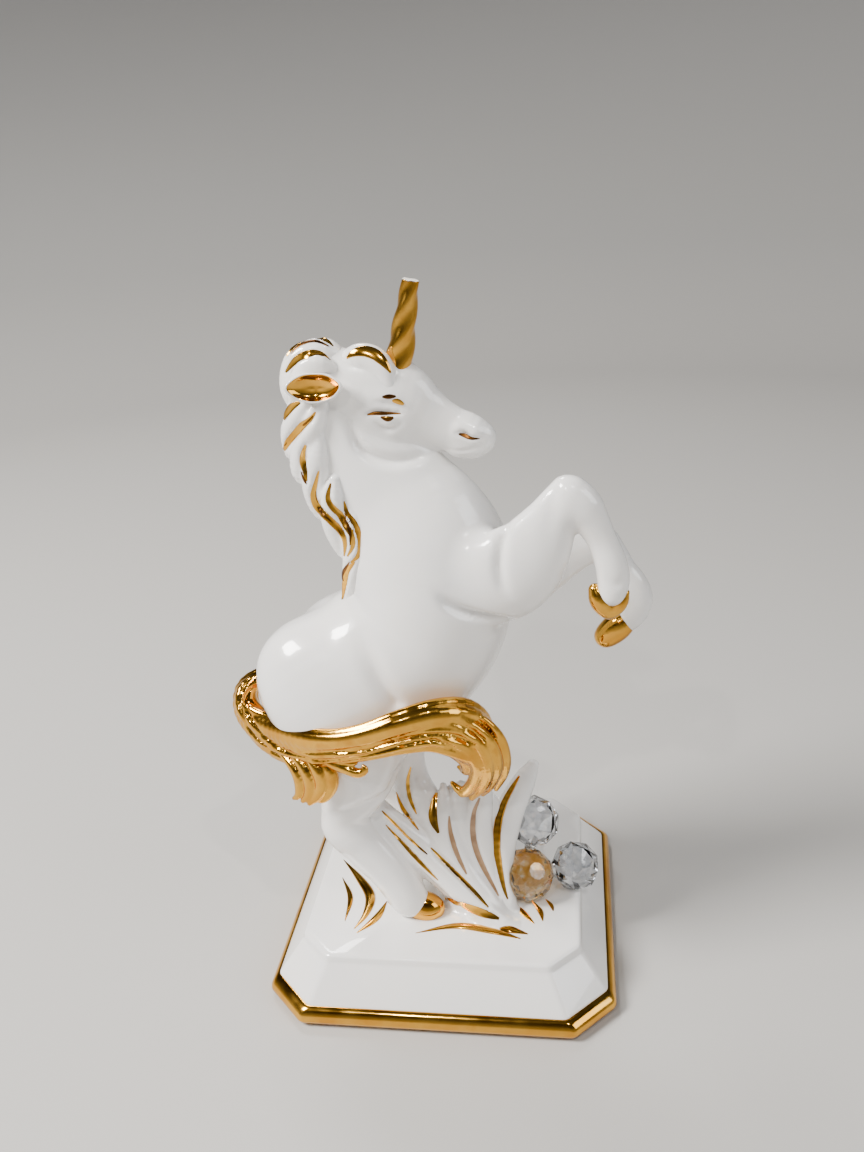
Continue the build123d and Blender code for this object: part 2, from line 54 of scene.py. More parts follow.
# Levels of the outside and of the hollow: an inset, the length of a cut corner and a height.
plinth_levels = [
    (5.1, 10.0, 0.0),
    (2.6, 10.0, 0.0),
    (2.1, 10.0, 0.6),
    (2.1, 10.0, 5.3),
    (2.25, 10.0, 5.6),
    (8.0, 7.9, 13.05),
    (8.3, 7.8, 13.45),
    (8.45, 7.7, 13.8),
    (8.6, 7.7, 14.7),
    (8.8, 7.7, 15.1),
    (9.3, 7.7, 15.32),
    (10.2, 7.4, 15.4),
]
cavity_levels = [
    (12.0, 7.0, 11.9),
    (11.2, 7.6, 11.6),
    (5.9, 10.0, 5.3),
    (5.6, 10.0, 0.5),
]


def linear(hex_colour):
    """The linear RGBA of an sRGB hex colour."""
    values = [int(hex_colour[i:i + 2], 16) / 255 for i in (1, 3, 5)]
    bent = [v / 12.92 if v <= 0.04045 else ((v + 0.055) / 1.055) ** 2.4 for v in values]
    return (*bent, 1.0)


def feed(tree, node, inputs):
    """Gives a node's inputs their values, or links from a socket or a node's first output."""
    for key, value in inputs.items():
        if isinstance(value, bpy.types.Node):
            value = value.outputs[0]
        if isinstance(value, bpy.types.NodeSocket):
            tree.links.new(value, node.inputs[key])
        else:
            node.inputs[key].default_value = value


def add(tree, kind, inputs=(), stops=(), **settings):
    """A node with its settings, its inputs and, for a ramp, stops of a place and a hex colour."""
    made = tree.nodes.new(kind)
    for key, value in settings.items():
        setattr(made, key, value)
    feed(tree, made, dict(inputs))
    if stops:
        elements = made.color_ramp.elements
        while len(elements) < len(stops):
            elements.new(1.0)
        for element, (place, colour) in zip(elements, stops):
            element.position = place
            element.color = linear(colour)
    return made


def surface_material(name):
    """A new material, its tree, its shader and its object coordinates."""
    made = bpy.data.materials.new(name)
    made.use_nodes = True
    tree = made.node_tree
    where = add(tree, "ShaderNodeTexCoord").outputs["Object"]
    return made, tree, tree.nodes["Principled BSDF"], where


# Glazed hard-paste porcelain: a cold white body under clear glaze. The eye gets a soft depth from
# the body and a sharp wet gloss, a little wavy where the glaze has flowed.
glazed_porcelain, tree, shader, where = surface_material("glazed porcelain")
tone = add(tree, "ShaderNodeTexNoise", {"Vector": where, "Scale": 1 / (22 * MM), "Detail": 3.0})
white = add(tree, "ShaderNodeValToRGB", {"Fac": tone}, [(0.3, "#FAF7F3"), (0.7, "#F4F3F2")])
ripple = add(tree, "ShaderNodeTexNoise", {"Vector": where, "Scale": 1 / (7 * MM), "Detail": 1.0})
orange_peel = add(tree, "ShaderNodeBump", {
    "Height": ripple, "Strength": 0.35, "Distance": 0.12 * MM})
feed(tree, shader, {
    "Base Color": white, "Normal": orange_peel,
    "Roughness": 0.22, "Subsurface Weight": 0.12, "Subsurface Radius": (1.0, 0.9, 0.8),
    "Subsurface Scale": 1.5 * MM, "Coat Weight": 1.0, "Coat Roughness": 0.025})


def placed(name, data):
    """An object with this data, linked to the scene."""
    made = bpy.data.objects.new(name, data)
    bpy.context.scene.collection.objects.link(made)
    return made


def new_piece(name, points, faces, *materials):
    """A smooth mesh object from millimetre points and faces of one size."""
    mesh = bpy.data.meshes.new(name)
    points = np.asarray(points, float) * MM
    faces = np.asarray(faces, np.int32)
    mesh.vertices.add(len(points))
    mesh.vertices.foreach_set("co", points.ravel())
    mesh.loops.add(faces.size)
    mesh.loops.foreach_set("vertex_index", faces.ravel())
    mesh.polygons.add(len(faces))
    mesh.polygons.foreach_set("loop_start", np.arange(len(faces)) * faces.shape[1])
    mesh.update(calc_edges=True)
    mesh.shade_smooth()
    for material in materials:
        mesh.materials.append(material)
    return placed(name, mesh)


def plinth_ring(inset, corner, height):
    """One level of the plinth: a rectangle with cut corners, each angle rounded."""
    half_x = plinth_half[0] - inset
    half_y = plinth_half[1] - inset
    angles = [
        (half_x, -half_y + corner), (half_x, half_y - corner),
        (half_x - corner, half_y), (corner - half_x, half_y),
        (-half_x, half_y - corner), (-half_x, corner - half_y),
        (corner - half_x, -half_y), (half_x - corner, -half_y),
    ]
    ring = []
    for index, place in enumerate(angles):
        here = np.array(place)
        before = np.array(angles[index - 1]) - here
        after = np.array(angles[(index + 1) % 8]) - here
        start = here + before / np.linalg.norm(before) * corner_round
        end = here + after / np.linalg.norm(after) * corner_round
        for share in (0.0, 0.25, 0.5, 0.75, 1.0):
            bend = (1 - share) ** 2 * start + 2 * share * (1 - share) * here + share**2 * end
            ring.append((*bend, height))
    return ring


def stacked_rings(rings, closed=False):
    """Faces that join equal rings, each to the next."""
    count = len(rings[0])
    last = len(rings) if closed else len(rings) - 1
    faces = []
    for level in range(last):
        low = level * count
        high = (level + 1) % len(rings) * count
        for i in range(count):
            j = (i + 1) % count
            faces.append((low + i, low + j, high + j, high + i))
    return np.concatenate(rings), faces


def capped(points, faces, ring_size):
    """Closes the first and the last ring with a fan of four-cornered faces."""
    for start, turn in ((0, -1), (len(points) - ring_size, 1)):
        centre = len(points)
        points = np.vstack([points, points[start:start + ring_size].mean(0)])
        for i in range(0, ring_size, 2):
            corners = [start + (i + k) % ring_size for k in (0, 1, 2)]
            faces.append((*corners[::turn], centre))
    return points, faces


rings = [plinth_ring(*level) for level in cavity_levels + plinth_levels]
points, faces = stacked_rings(rings)
points, faces = capped(points, faces, len(rings[0]))
plinth = new_piece("plinth_casting", points, faces, glazed_porcelain)
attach(plinth, "root")
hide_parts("plinth")


# The band round the plinth's foot is the same casting, rounded like a bead moulding and gilded
# with lustre that was brushed on and fired.
rim_corner = 10.0
rim_profile = [
    (2.3, 0.7), (1.5, 0.6), (0.8, 0.85), (0.25, 1.4), (0.0, 2.2), (0.1, 3.1),
    (0.45, 3.9), (0.95, 4.6), (1.5, 5.1), (2.0, 5.3), (2.3, 5.25),
]

# Fired gold lustre: a film of bright gold on glaze. The eye gets a near mirror, warm yellow in
# its highlights and brown where it meets the dark, with faint streaks from the brush.
gold_lustre, tree, shader, where = surface_material("fired gold lustre")
cloud = add(tree, "ShaderNodeTexNoise", {"Vector": where, "Scale": 1 / (9 * MM), "Detail": 4.0})
gold = add(tree, "ShaderNodeValToRGB", {"Fac": cloud},
           [(0.3, "#D39330"), (0.55, "#E4AC44"), (0.75, "#BF7D24")])
film = add(tree, "ShaderNodeMapRange", {
    "Value": cloud, "From Min": 0.3, "From Max": 0.7, "To Min": 0.07, "To Max": 0.22})
streak = add(tree, "ShaderNodeTexNoise", {"Vector": where, "Scale": 1 / (2.6 * MM), "Detail": 2.0})
brushed = add(tree, "ShaderNodeBump", {"Height": streak, "Strength": 0.25, "Distance": 0.08 * MM})
feed(tree, shader, {"Base Color": gold, "Roughness": film, "Normal": brushed, "Metallic": 1.0})

rings = [plinth_ring(inset, rim_corner, height) for inset, height in rim_profile]
points, faces = stacked_rings(rings, closed=True)
rim = new_piece("gilt_rim_band", points, faces, gold_lustre)
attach(rim, "root")
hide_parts("gilt_rim")


# The horse's trunk, neck and legs are slip castings luted together before the glaze, so one skin
# of glaze runs over them all. Each row is a place, a radius and how flat the form is across.
# The horse's middle plane is at one y, and its far hind leg stands a step ahead of the near one.
middle = -4.0
far_hind_shift = 6.6
barrel = [
    (-25, -4, 68.5, 10.5, .82), (-22.2, -4, 71.4, 17.2, .84), (-18.6, -4, 76.8, 21.2, .86),
    (-12.4, -4, 81.9, 21.3, .88), (-6.3, -4, 87.3, 20.2, .90), (-1.0, -4, 93.9, 19.2, .90),
    (1.1, -4, 101.8, 18.9, .88), (1.2, -4, 109, 17.8, .82), (0.8, -4, 115, 14.2, .78),
    (0.5, -4, 118.5, 8, .78),
]
neck = [
    (1.0, -4, 105, 17.0, .74), (0.6, -4, 111, 18.2, .72), (-1.5, -4, 117, 17.6, .64),
    (-5.2, -4, 122.5, 16.4, .56), (-10, -4, 129.6, 15.2, .50), (-14, -4, 136.9, 13.4, .48),
    (-17, -4, 144, 11.2, .50), (-19.2, -4, 151, 8.4, .56), (-19.8, -4, 156.5, 5.6, .68),
]
thigh = [
    (-30.4, -8, 86.6, 8, .8), (-28.6, -11, 82.6, 14.2, .75), (-24.5, -14, 76.6, 15.4, .70),
    (-20.5, -15, 69.5, 12.8, .72), (-19, -15, 60, 10.4, .72), (-20.6, -15, 53, 8.2, .75),
    (-23.4, -15, 46.5, 6.4, .8), (-24.4, -15, 41.5, 5.8, .8),
]
hind_cannon = [
    (-25.4, -15, 43.5, 3.2, .85), (-23.4, -15.2, 40.3, 6.2, .82), (-19.6, -15.6, 35.2, 5.9, .8),
    (-13.2, -16.4, 27.4, 5.3, .85), (-9.8, -17, 21.6, 5.2, .9), (-8.6, -17, 19.6, 4.9, .92),
]
near_arm = [
    (10, -10, 105, 8, .7), (14, -12, 108.2, 11, .6), (19.5, -13.5, 110.2, 10.8, .55),
    (24.5, -14.2, 115, 8.8, .52), (28.8, -14.5, 121.8, 6.2, .62), (31.6, -14.6, 126.4, 5, .75),
    (33, -14.6, 129.2, 4, .85),
]
near_fore_cannon = [
    (31.4, -14.6, 127.6, 2.8, .85), (33.4, -14.6, 128.4, 4.4, .85), (35.8, -14.6, 126.6, 4.6, .85),
    (37.9, -14.6, 123.4, 3.9, .85), (40.3, -14.6, 118.6, 3.3, .85), (42.2, -14.6, 113.4, 3.5, .9),
    (42.9, -14.6, 109, 3.6, .9), (42.6, -14.6, 106, 3.2, .95),
]
far_arm = [
    (14, 1, 100, 8, .7), (18, 3, 101.8, 10, .6), (25, 5, 104, 8.2, .6), (31, 6, 106.8, 6.6, .65),
    (37, 6.5, 109.2, 5.2, .75), (40.4, 6.8, 109.6, 4.2, .8),
]
far_fore_cannon = [
    (39, 6.8, 110, 2.6, .85), (41, 6.8, 108.8, 4.2, .85), (43.4, 6.8, 105.6, 4, .85),
    (45.6, 6.8, 102.4, 3.5, .85), (48.4, 6.8, 98, 3.8, .85), (49.6, 6.8, 94.2, 3.7, .9),
    (48.6, 6.8, 90.4, 3.4, .9), (46.9, 6.8, 88.4, 2.9, .95),
]
smooth_steps = 4
far_off = 1e3


def with_ends(rows):
    """The rows as knots, and the knots with one more at each end for a smooth curve."""
    knots = np.asarray(rows, float)
    return knots, np.vstack([2 * knots[0] - knots[1], knots, 2 * knots[-1] - knots[-2]])


def between(a, b, c, d, t):
    """The place at share t from b to c, on a smooth curve that comes from a and goes on to d."""
    return 0.5 * (2 * b + (c - a) * t + (2 * a - 5 * b + 4 * c - d) * t**2
                  + (3 * b - a - 3 * c + d) * t**3)


def stations(rows):
    """A smooth run of stations through the rows."""
    knots, ends = with_ends(rows)
    spans = np.linalg.norm(np.diff(knots[:, :3], axis=0), axis=1)
    along = np.concatenate([[0], np.cumsum(spans)])
    sample = np.linspace(0, along[-1], smooth_steps * (len(knots) - 1) + 1)
    span = np.clip(np.searchsorted(along, sample, side="right") - 1, 0, len(knots) - 2)
    t = ((sample - along[span]) / spans[span])[:, None]
    return between(*(ends[span + k] for k in range(4)), t)


def far_side(rows, shift=0.0):
    """The same rows on the other side of the horse."""
    other = np.array(rows, float)
    other[:, 0] += shift
    other[:, 1] = 2 * middle - other[:, 1]
    return other


def limb_field(points, run, reach=8.0, batch=12000):
    """How far points lie outside a limb that runs through stations, where that is within reach.

    The points are taken in batches, and only the parts of the limb near a batch are measured.
    """
    radius, flat = run[:, 3], run[:, 4]
    pad = np.stack([radius, radius * np.maximum(flat, 0.5), radius], 1) + reach
    low = np.minimum((run[:, :3] - pad)[:-1], (run[:, :3] - pad)[1:])
    high = np.maximum((run[:, :3] + pad)[:-1], (run[:, :3] + pad)[1:])
    out = np.full(len(points), far_off)
    for start in range(0, len(points), batch):
        part = points[start:start + batch]
        near = ((low < part.max(0)) & (high > part.min(0))).all(1)
        best = out[start:start + batch]
        for k in np.flatnonzero(near):
            a, b = run[k], run[k + 1]
            step = b - a
            t = ((part - a[:3]) @ step[:3]) / max(step[:3] @ step[:3], 1e-9)
            t = np.clip(t, 0, 1)
            away = part - a[:3] - t[:, None] * step[:3]
            away[:, 1] /= a[4] + t * step[4]
            np.minimum(best, np.sqrt((away**2).sum(1)) - a[3] - t * step[3], out=best)
    return out


def merge(one, other, reach):
    """A union whose joint is filled like slip in a seam."""
    fill = np.maximum(reach - np.abs(one - other), 0) / reach
    return np.minimum(one, other) - fill * fill * reach * 0.25


def joined_limbs(points, runs, fillets, reach=8.0):
    """How far points lie outside limbs that are joined in turn, with one fillet or one for each."""
    out = limb_field(points, runs[0], reach)
    for run, fillet in zip(runs[1:], np.broadcast_to(fillets, len(runs) - 1)):
        out = merge(out, limb_field(points, run, reach), fillet)
    return out


def drawn_in(field, points, probe=0.02, gentlest=0.05, longest=0.6):
    """The points moved along the field's slope, nearer to its zero surface."""
    values = field(points)
    slope = np.stack([(field(points + move) - values) / probe for move in np.eye(3) * probe], 1)
    move = -(values / np.maximum((slope**2).sum(1), gentlest))[:, None] * slope
    length = np.linalg.norm(move, axis=1, keepdims=True)
    return points + move * np.minimum(1, longest / np.maximum(length, 1e-9))


def skin(field, box, step, coarse=4, margin=2.2):
    """Points and four-cornered faces on the zero surface of a field, inside a box.

    A coarse grid finds the blocks near the surface, and a fine one is filled in only there. Each
    fine cell that the surface crosses gets one point, and each crossed edge one face.
    """
    low, high = np.asarray(box, float)
    cells = np.ceil((high - low) / (step * coarse)).astype(int) * coarse
    knots = cells // coarse + 1
    axes = [low[i] + np.arange(knots[i]) * step * coarse for i in range(3)]
    rough = field(np.stack(np.meshgrid(*axes, indexing="ij"), -1).reshape(-1, 3)).reshape(knots)
    near = np.abs(rough) < step * coarse * margin
    corners = [(x, y, z) for x in (0, 1) for y in (0, 1) for z in (0, 1)]
    block = np.zeros(knots - 1, bool)
    for x, y, z in corners:
        block |= near[x:knots[0] - 1 + x, y:knots[1] - 1 + y, z:knots[2] - 1 + z]
    grid = rough[:-1, :-1, :-1]
    for axis in range(3):
        grid = grid.repeat(coarse, axis)
        block = block.repeat(coarse, axis)
    grid = np.pad(grid, ((0, 1),) * 3, mode="edge")
    wanted = np.zeros(grid.shape, bool)
    for x, y, z in corners:
        wanted[x:cells[0] + x, y:cells[1] + y, z:cells[2] + z] |= block
    grid[wanted] = field(low + np.argwhere(wanted) * step)
    inside = grid < 0
    count = sum(
        inside[x:cells[0] + x, y:cells[1] + y, z:cells[2] + z].astype(np.int8)
        for x, y, z in corners)
    crossed = (count > 0) & (count < 8)
    cell = np.argwhere(crossed)
    number = np.full(crossed.shape, -1)
    number[crossed] = np.arange(len(cell))
    total = np.zeros((len(cell), 3))
    hits = np.zeros(len(cell))
    for corner in corners:
        for axis in range(3):
            if corner[axis]:
                continue
            start = np.array(corner)
            end = start + np.eye(3, dtype=int)[axis]
            value_a = grid[tuple((cell + start).T)]
            value_b = grid[tuple((cell + end).T)]
            cut = (value_a < 0) != (value_b < 0)
            share = np.where(cut, value_a / np.where(cut, value_a - value_b, 1), 0)
            total[cut] += (start + (end - start) * share[:, None])[cut]
            hits[cut] += 1
    points = low + (cell + total / hits[:, None]) * step
    faces = []
    for axis in range(3):
        first, second = [k for k in range(3) if k != axis]
        front, back = [slice(None)] * 3, [slice(None)] * 3
        front[axis], back[axis] = slice(0, -1), slice(1, None)
        edge = np.argwhere(inside[tuple(front)] != inside[tuple(back)])
        fits = [(edge[:, k] > 0) & (edge[:, k] < grid.shape[k] - 1) for k in (first, second)]
        edge = edge[fits[0] & fits[1]]
        ring = []
        for move_first, move_second in ((1, 1), (0, 1), (0, 0), (1, 0)):
            at = edge.copy()
            at[:, first] -= move_first
            at[:, second] -= move_second
            ring.append(number[tuple(at.T)])
        ring = np.stack(ring, 1)
        turned = inside[tuple(edge.T)] == (axis == 1)
        ring[turned] = ring[turned][:, ::-1]
        faces.append(ring)
    return drawn_in(field, drawn_in(field, points)), np.vstack(faces)


limbs = [stations(rows) for rows in (
    barrel, neck, thigh, hind_cannon, near_arm, near_fore_cannon, far_arm, far_fore_cannon,
    far_side(thigh, far_hind_shift), far_side(hind_cannon, far_hind_shift))]
limb_fillets = [4.0, 5.0, 1.6, 3.0, 1.4, 3.0, 1.4, 5.0, 1.6]
barrel_run, neck_run, thigh_run, cannon_run = limbs[:4]


def body_field(points):
    """How far points lie outside the trunk, neck and legs."""
    return joined_limbs(points, limbs, limb_fillets)


# The photograph's frame, 864 by 1152, and the place that it was taken from, fitted to the plinth.
photo_size = (864, 1152)
photo_focal_px = 1000.0
camera_place = np.array([34.66, -219.08, 199.56])
camera_turn = np.array([
    [0.98982816, 0.12745778, -0.06320384],
    [-0.0068152, -0.40126816, -0.91593527],
    [-0.14210477, 0.90704927, -0.39631788],
])


def sight(place_px):
    """The direction from the camera through a pixel of the photograph."""
    across = (place_px[0] - photo_size[0] / 2) / photo_focal_px
    down = (place_px[1] - photo_size[1] / 2) / photo_focal_px
    ray = across * camera_turn[0] + down * camera_turn[1] + camera_turn[2]
    return ray / np.linalg.norm(ray)


def eased(rows, spacing):
    """Places along a smooth line through the rows, about evenly spaced."""
    knots, ends = with_ends(rows)
    out = []
    for k in range(len(knots) - 1):
        count = max(2, int(np.linalg.norm((knots[k + 1] - knots[k])[:2]) / spacing))
        out += [between(*ends[k:k + 4], t) for t in np.arange(count) / count]
    return np.array(out + [knots[-1]])


# A line's places are this far apart and smoothed so often. Where it starts off the surface, the
# usual depth stands for how far the horse is from the camera.
path_spacing_px = 1.2
path_smoothings = 3
usual_depth = 255.0


def seen_path(rows_px, tree):
    """Where a line of pixels falls on a surface, seen from the camera."""
    found = []
    depth = usual_depth
    for row in eased(rows_px, path_spacing_px):
        ray = sight(row[:2])
        hit, _, _, distance = tree.ray_cast(Vector(camera_place), Vector(ray))
        if hit is None:
            hit = tree.find_nearest(Vector(camera_place + ray * depth))[0]
        else:
            depth = distance
        found.append((*hit, *row[2:]))
    found = np.array(found)
    for _ in range(path_smoothings):
        found[1:-1, :3] = (found[:-2, :3] + 2 * found[1:-1, :3] + found[2:, :3]) / 4
    return found


def surface_tree(points, faces):
    """A search tree over a surface in millimetres."""
    return BVHTree.FromPolygons(points.tolist(), faces.tolist())


def vertex_normals(points, faces):
    """Outward normals at the points of a surface."""
    a, b, c, d = (points[faces[:, k]] for k in range(4))
    normal = np.cross(c - a, d - b)
    out = np.zeros_like(points)
    for k in range(4):
        np.add.at(out, faces[:, k], normal)
    return out / np.maximum(np.linalg.norm(out, axis=1, keepdims=True), 1e-9)


# A groove ends at this many half widths, and where the surface turns away from its floor.
groove_reach = 2.6
groove_facing = 0.1


def press(points, faces, paths):
    """Presses lines into a surface. A path's rows are a place, a depth and a half width."""
    normal = vertex_normals(points, faces)
    rows = np.vstack(paths)
    tree = KDTree(len(rows))
    for index, row in enumerate(rows):
        tree.insert(row[:3], index)
    tree.balance()
    widest = rows[:, 4].max() * groove_reach
    low, high = rows[:, :3].min(0) - widest, rows[:, :3].max(0) + widest
    close = np.flatnonzero(((points > low) & (points < high)).all(1))
    near = KDTree(len(close))
    for index in close:
        near.insert(points[index], index)
    near.balance()
    facing = np.array([normal[near.find(row[:3])[1]] for row in rows])
    sink = np.zeros(len(points))
    for index in close:
        _, number, distance = tree.find(points[index])
        depth, width = rows[number, 3:5]
        if distance < groove_reach * width and facing[number] @ normal[index] > groove_facing:
            sink[index] = depth * math.exp(-(distance / width) ** 2)
    return points - normal * sink[:, None]


def modelled(name, field, box, step, material, lines_px=(), far_shifts=()):
    """A piece on a field's surface with lines pressed in, and the search tree of its surface.

    Each far shift repeats one of the lines, in their order, on the far side of the horse.
    """
    points, faces = skin(field, box, step)
    if lines_px:
        tree = surface_tree(points, faces)
        paths = [seen_path(rows, tree) for rows in lines_px]
        paths += [far_side(path, shift) for path, shift in zip(paths, far_shifts)]
        points = press(points, faces, paths)
    return new_piece(name, points, faces, material), surface_tree(points, faces)


# Soft creases of the modelling: rows are a pixel across and down, a depth and a half width in mm.
body_creases_px = [
    [(508, 522, .3, 1.1), (502, 538, 1.3, 1.3), (499, 562, 1.5, 1.3), (501, 580, 1.0, 1.3),
     (506, 594, .2, 1.4)],
    [(436, 594, .2, 1.3), (452, 607, 1.4, 1.3), (474, 616, 1.7, 1.2), (496, 619.5, 1.5, 1.2),
     (511, 621, .6, 1.1)],
    [(354, 628, .1, 2.8), (364, 652, 1.2, 2.8), (377, 680, 2.1, 2.4), (395, 706, 1.9, 2.0)],
    [(349, 424, .8, 1.1), (360, 448, 1.8, 1.2), (376, 458, 1.9, 1.2), (395, 461, 1.6, 1.2),
     (414, 458, 1.0, 1.1), (429, 453, .3, 1.0)],
    [(334, 816, .3, 1.4), (345, 813, .8, 1.6), (361, 808, .9, 1.8), (387, 794, .9, 2.0),
     (398, 771, .6, 2.0)],
    [(551, 480, .1, 1.4), (553, 492, .5, 1.6), (551, 512, .4, 1.8), (547, 540, .1, 1.8)],
    [(609, 580, .2, 1.0), (617, 585, .4, 1.0), (627, 576, .3, 1.0)],
]
body_box = ((-56, -36, 12), (58, 30, 166))
body_step = 0.75
body, _ = modelled(
    "body_casting", body_field, body_box, body_step, glazed_porcelain, body_creases_px,
    (0, 0, far_hind_shift, far_hind_shift))
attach(body, "root")
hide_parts("barrel", "neck", "hind_leg_near", "hind_leg_far", "foreleg_near", "foreleg_far")


# The head was modelled apart, with full round cheeks, and luted to the neck. Its slip joint shows
# as the soft valley behind the jaw.
skull = [
    (-19.5, -4, 153, 5.2, .66), (-15.8, -4, 152.2, 7.4, .70), (-10.8, -4, 150.4, 9.2, .66),
    (-5.4, -4, 147.8, 9.8, .60), (-1.2, -4, 145.2, 8.1, .58), (3, -4, 143.2, 6.4, .58),
    (7.5, -4, 141.3, 5.2, .62), (11.2, -4, 140, 4.8, .70), (13.6, -4, 139.1, 3.9, .74),
]
cheek = [(-8.0, -8.1, 146.6, 4.6, .5), (-4.6, -8.0, 144.6, 4.2, .5)]
eyeball = [(-6.9, -8.7, 146.0, 2.5, .75), (-5.2, -8.9, 145.2, 2.4, .75)]
brow = [(-8.6, -8.2, 150.4, 2.0, .8), (-5.0, -8.6, 149.6, 2.0, .8), (-2.0, -8.0, 147.6, 1.6, .8)]
nostril_wing = [(9.6, -6.0, 141.4, 1.9, .8), (12.6, -6.0, 140.6, 1.9, .8)]
lower_lip = [(9.0, -4, 137.2, 2.6, .9), (12.4, -4, 136.9, 2.4, .9)]
face_forms = [(cheek, 2.2), (eyeball, .8), (brow, 1.4), (nostril_wing, 1.4)]
skull_run = stations(skull)
face_runs = [skull_run] + [stations(rows) for rows, _ in face_forms]
face_runs += [stations(far_side(rows)) for rows, _ in face_forms]
face_runs.append(stations(lower_lip))
lip_fillet = 1.6
face_fillets = [fillet for _, fillet in face_forms] * 2 + [lip_fillet]
head_fillet = 1.6
head_skirt = 2.6
slip_gap = 0.15


def with_skirt(out, under, fillet, skirt, gap=slip_gap):
    """A form with a fillet of slip to what it sits on, no wider than its skirt."""
    return np.maximum(merge(out, under + gap, fillet), out - skirt)


def head_field(points):
    """How far points lie outside the head, with its fillet to the neck."""
    out = joined_limbs(points, face_runs, face_fillets)
    return with_skirt(out, limb_field(points, neck_run), head_fillet, head_skirt)


# Creases of the face, on the side that faces the camera. The other side repeats them.
face_creases_px = [
    [(366, 415, .5, .5), (374, 412.5, .9, .6), (384, 412.5, 1.0, .6), (395, 413, .8, .5),
     (403, 413, .2, .4)],
    [(376, 423, .2, .6), (387, 430, .7, .7), (400, 424, .2, .6)],
    [(349, 424, .8, 1.1), (354, 437, 1.5, 1.2), (362, 449, 1.9, 1.2), (376, 457.5, 2.0, 1.2),
     (395, 460.5, 1.7, 1.2), (414, 457.5, 1.1, 1.1), (429, 452.5, .3, 1.0)],
    [(457, 433.5, .4, .6), (464, 434, 1.1, .8), (471, 438, .9, .6), (481, 438.5, .2, .4)],
    [(446, 449, .1, .5), (462, 451, .25, .5), (482, 446, .15, .5)],
    [(377, 402, .2, .6), (388, 404, .6, .8), (402, 408, .3, .8), (411, 411, .1, .6)],
]
head_box = ((-32, -20, 130), (24, 12, 166))
head_step = 0.42
head, head_surface = modelled(
    "head_casting", head_field, head_box, head_step, glazed_porcelain, face_creases_px,
    [0] * len(face_creases_px))
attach(head, "root")
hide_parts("head")


# Each ear is a pinched leaf of clay laid back against the crest: white outside and along its lip,
# gilded in the cup.
ear_seat = (-20.4, 8.2, 153.2)
ear_length = 12.6
ear_width = 6.4
ear_lean = 0.02
ear_tilt_share = 0.35
ear_curl = 0.9
ear_pinch_share = 0.3
ear_lumps = 7
ear_lump_turn = 0.6
ear_lump_share = 0.02
ear_sides = 96
# Rings of the ear from its root to its cup: a share of its size and a height.
ear_rings = [
    (0.40, -4.6), (0.70, -3.6), (0.92, -2.0), (1.0, -0.6), (1.02, 0.1), (0.98, 0.42),
    (0.92, 0.4), (0.86, 0.1), (0.76, -0.4), (0.6, -0.95), (0.4, -1.3), (0.18, -1.45),
]
ear_lip_ring = 6


def ear_ring(share, height, side):
    """One ring of the ear, almond in plan and a little lumpy, in the frame of its seat."""
    ring = []
    for k in range(ear_sides):
        angle = 2 * math.pi * k / ear_sides
        along = math.cos(angle)
        across = math.sin(angle) * (1 - ear_pinch_share * along**4)
        lump = 1 + ear_lump_share * math.sin(ear_lumps * angle + ear_lump_turn) * share**3
        x = ear_length / 2 * share * along
        z = ear_width / 2 * share * across * lump
        lift = height + ear_curl * along * along * share
        ring.append((
            ear_seat[0] + x * math.cos(ear_lean) - z * math.sin(ear_lean),
            middle + side * (ear_seat[1] + lift),
            ear_seat[2] + x * math.sin(ear_lean) + z * math.cos(ear_lean) + ear_tilt_share * lift,
        ))
    return ring


for side, name in ((-1, "near"), (1, "far")):
    points, faces = stacked_rings([ear_ring(share, height, side) for share, height in ear_rings])
    points, faces = capped(points, faces, ear_sides)
    faces = np.array(faces)
    # The far ear is a mirror image, and its faces are turned to point outwards.
    if side > 0:
        faces = faces[:, ::-1]
    ear = new_piece("ear_" + name + "_leaf", points, faces, glazed_porcelain, gold_lustre)
    gilt = faces.min(1) // ear_sides >= ear_lip_ring
    ear.data.polygons.foreach_set("material_index", gilt.astype(np.int32))
    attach(ear, "root")
    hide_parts("ear_" + name)


# The mane is seven rolled locks laid down the crest, the lower five also on the far side, and the
# forelock is one more before the ears. They were pressed on wet, so slip fills the seams.
mane_locks = [
    [(-16.2, -4, 157, 1.2), (-18.2, -4.5, 158.8, 3), (-21, -5, 158.6, 4),
     (-24.2, -5, 156.6, 4.5), (-26, -5.5, 152.5, 3.9), (-26.8, -5.5, 148.5, 2)],
    [(-16.8, -8.2, 156.6, .9), (-19.2, -8.8, 157.6, 2.1), (-22.3, -8.8, 157, 2.4),
     (-25, -8.5, 152.6, 2.4), (-26.6, -8, 149.2, 1)],
    [(-22.6, -8.5, 150.5, 1.6), (-25.2, -8, 147.4, 3), (-27.3, -7, 142.6, 3.2),
     (-28.6, -6, 138.2, 2.2), (-29.2, -5, 135.6, .8)],
    [(-19.5, -9.5, 149.5, 1.2), (-22.2, -9.5, 144.6, 2.6), (-25, -8, 139.1, 3.2),
     (-26.6, -7, 133.5, 2.7), (-26.2, -6, 129.5, 1)],
    [(-21.2, -10, 141.2, 1.2), (-22.3, -9.5, 136.2, 2.8), (-23.4, -8.5, 130.2, 3.3),
     (-22.8, -7.5, 124.6, 2.8), (-21, -7, 120.6, 1)],
    [(-18.6, -10.5, 132, 1.2), (-19.5, -10.5, 127.2, 2.8), (-19.5, -9.5, 121.5, 3.3),
     (-18.2, -8.5, 115.4, 2.8), (-16.8, -8, 111, 1)],
    [(-16.4, -10.5, 125.4, 1.2), (-15.4, -11, 120.7, 2.8), (-15.2, -10.5, 114.6, 3.2),
     (-17, -9, 107.4, 2.6), (-19.4, -7.5, 101.6, 1.2)],
]
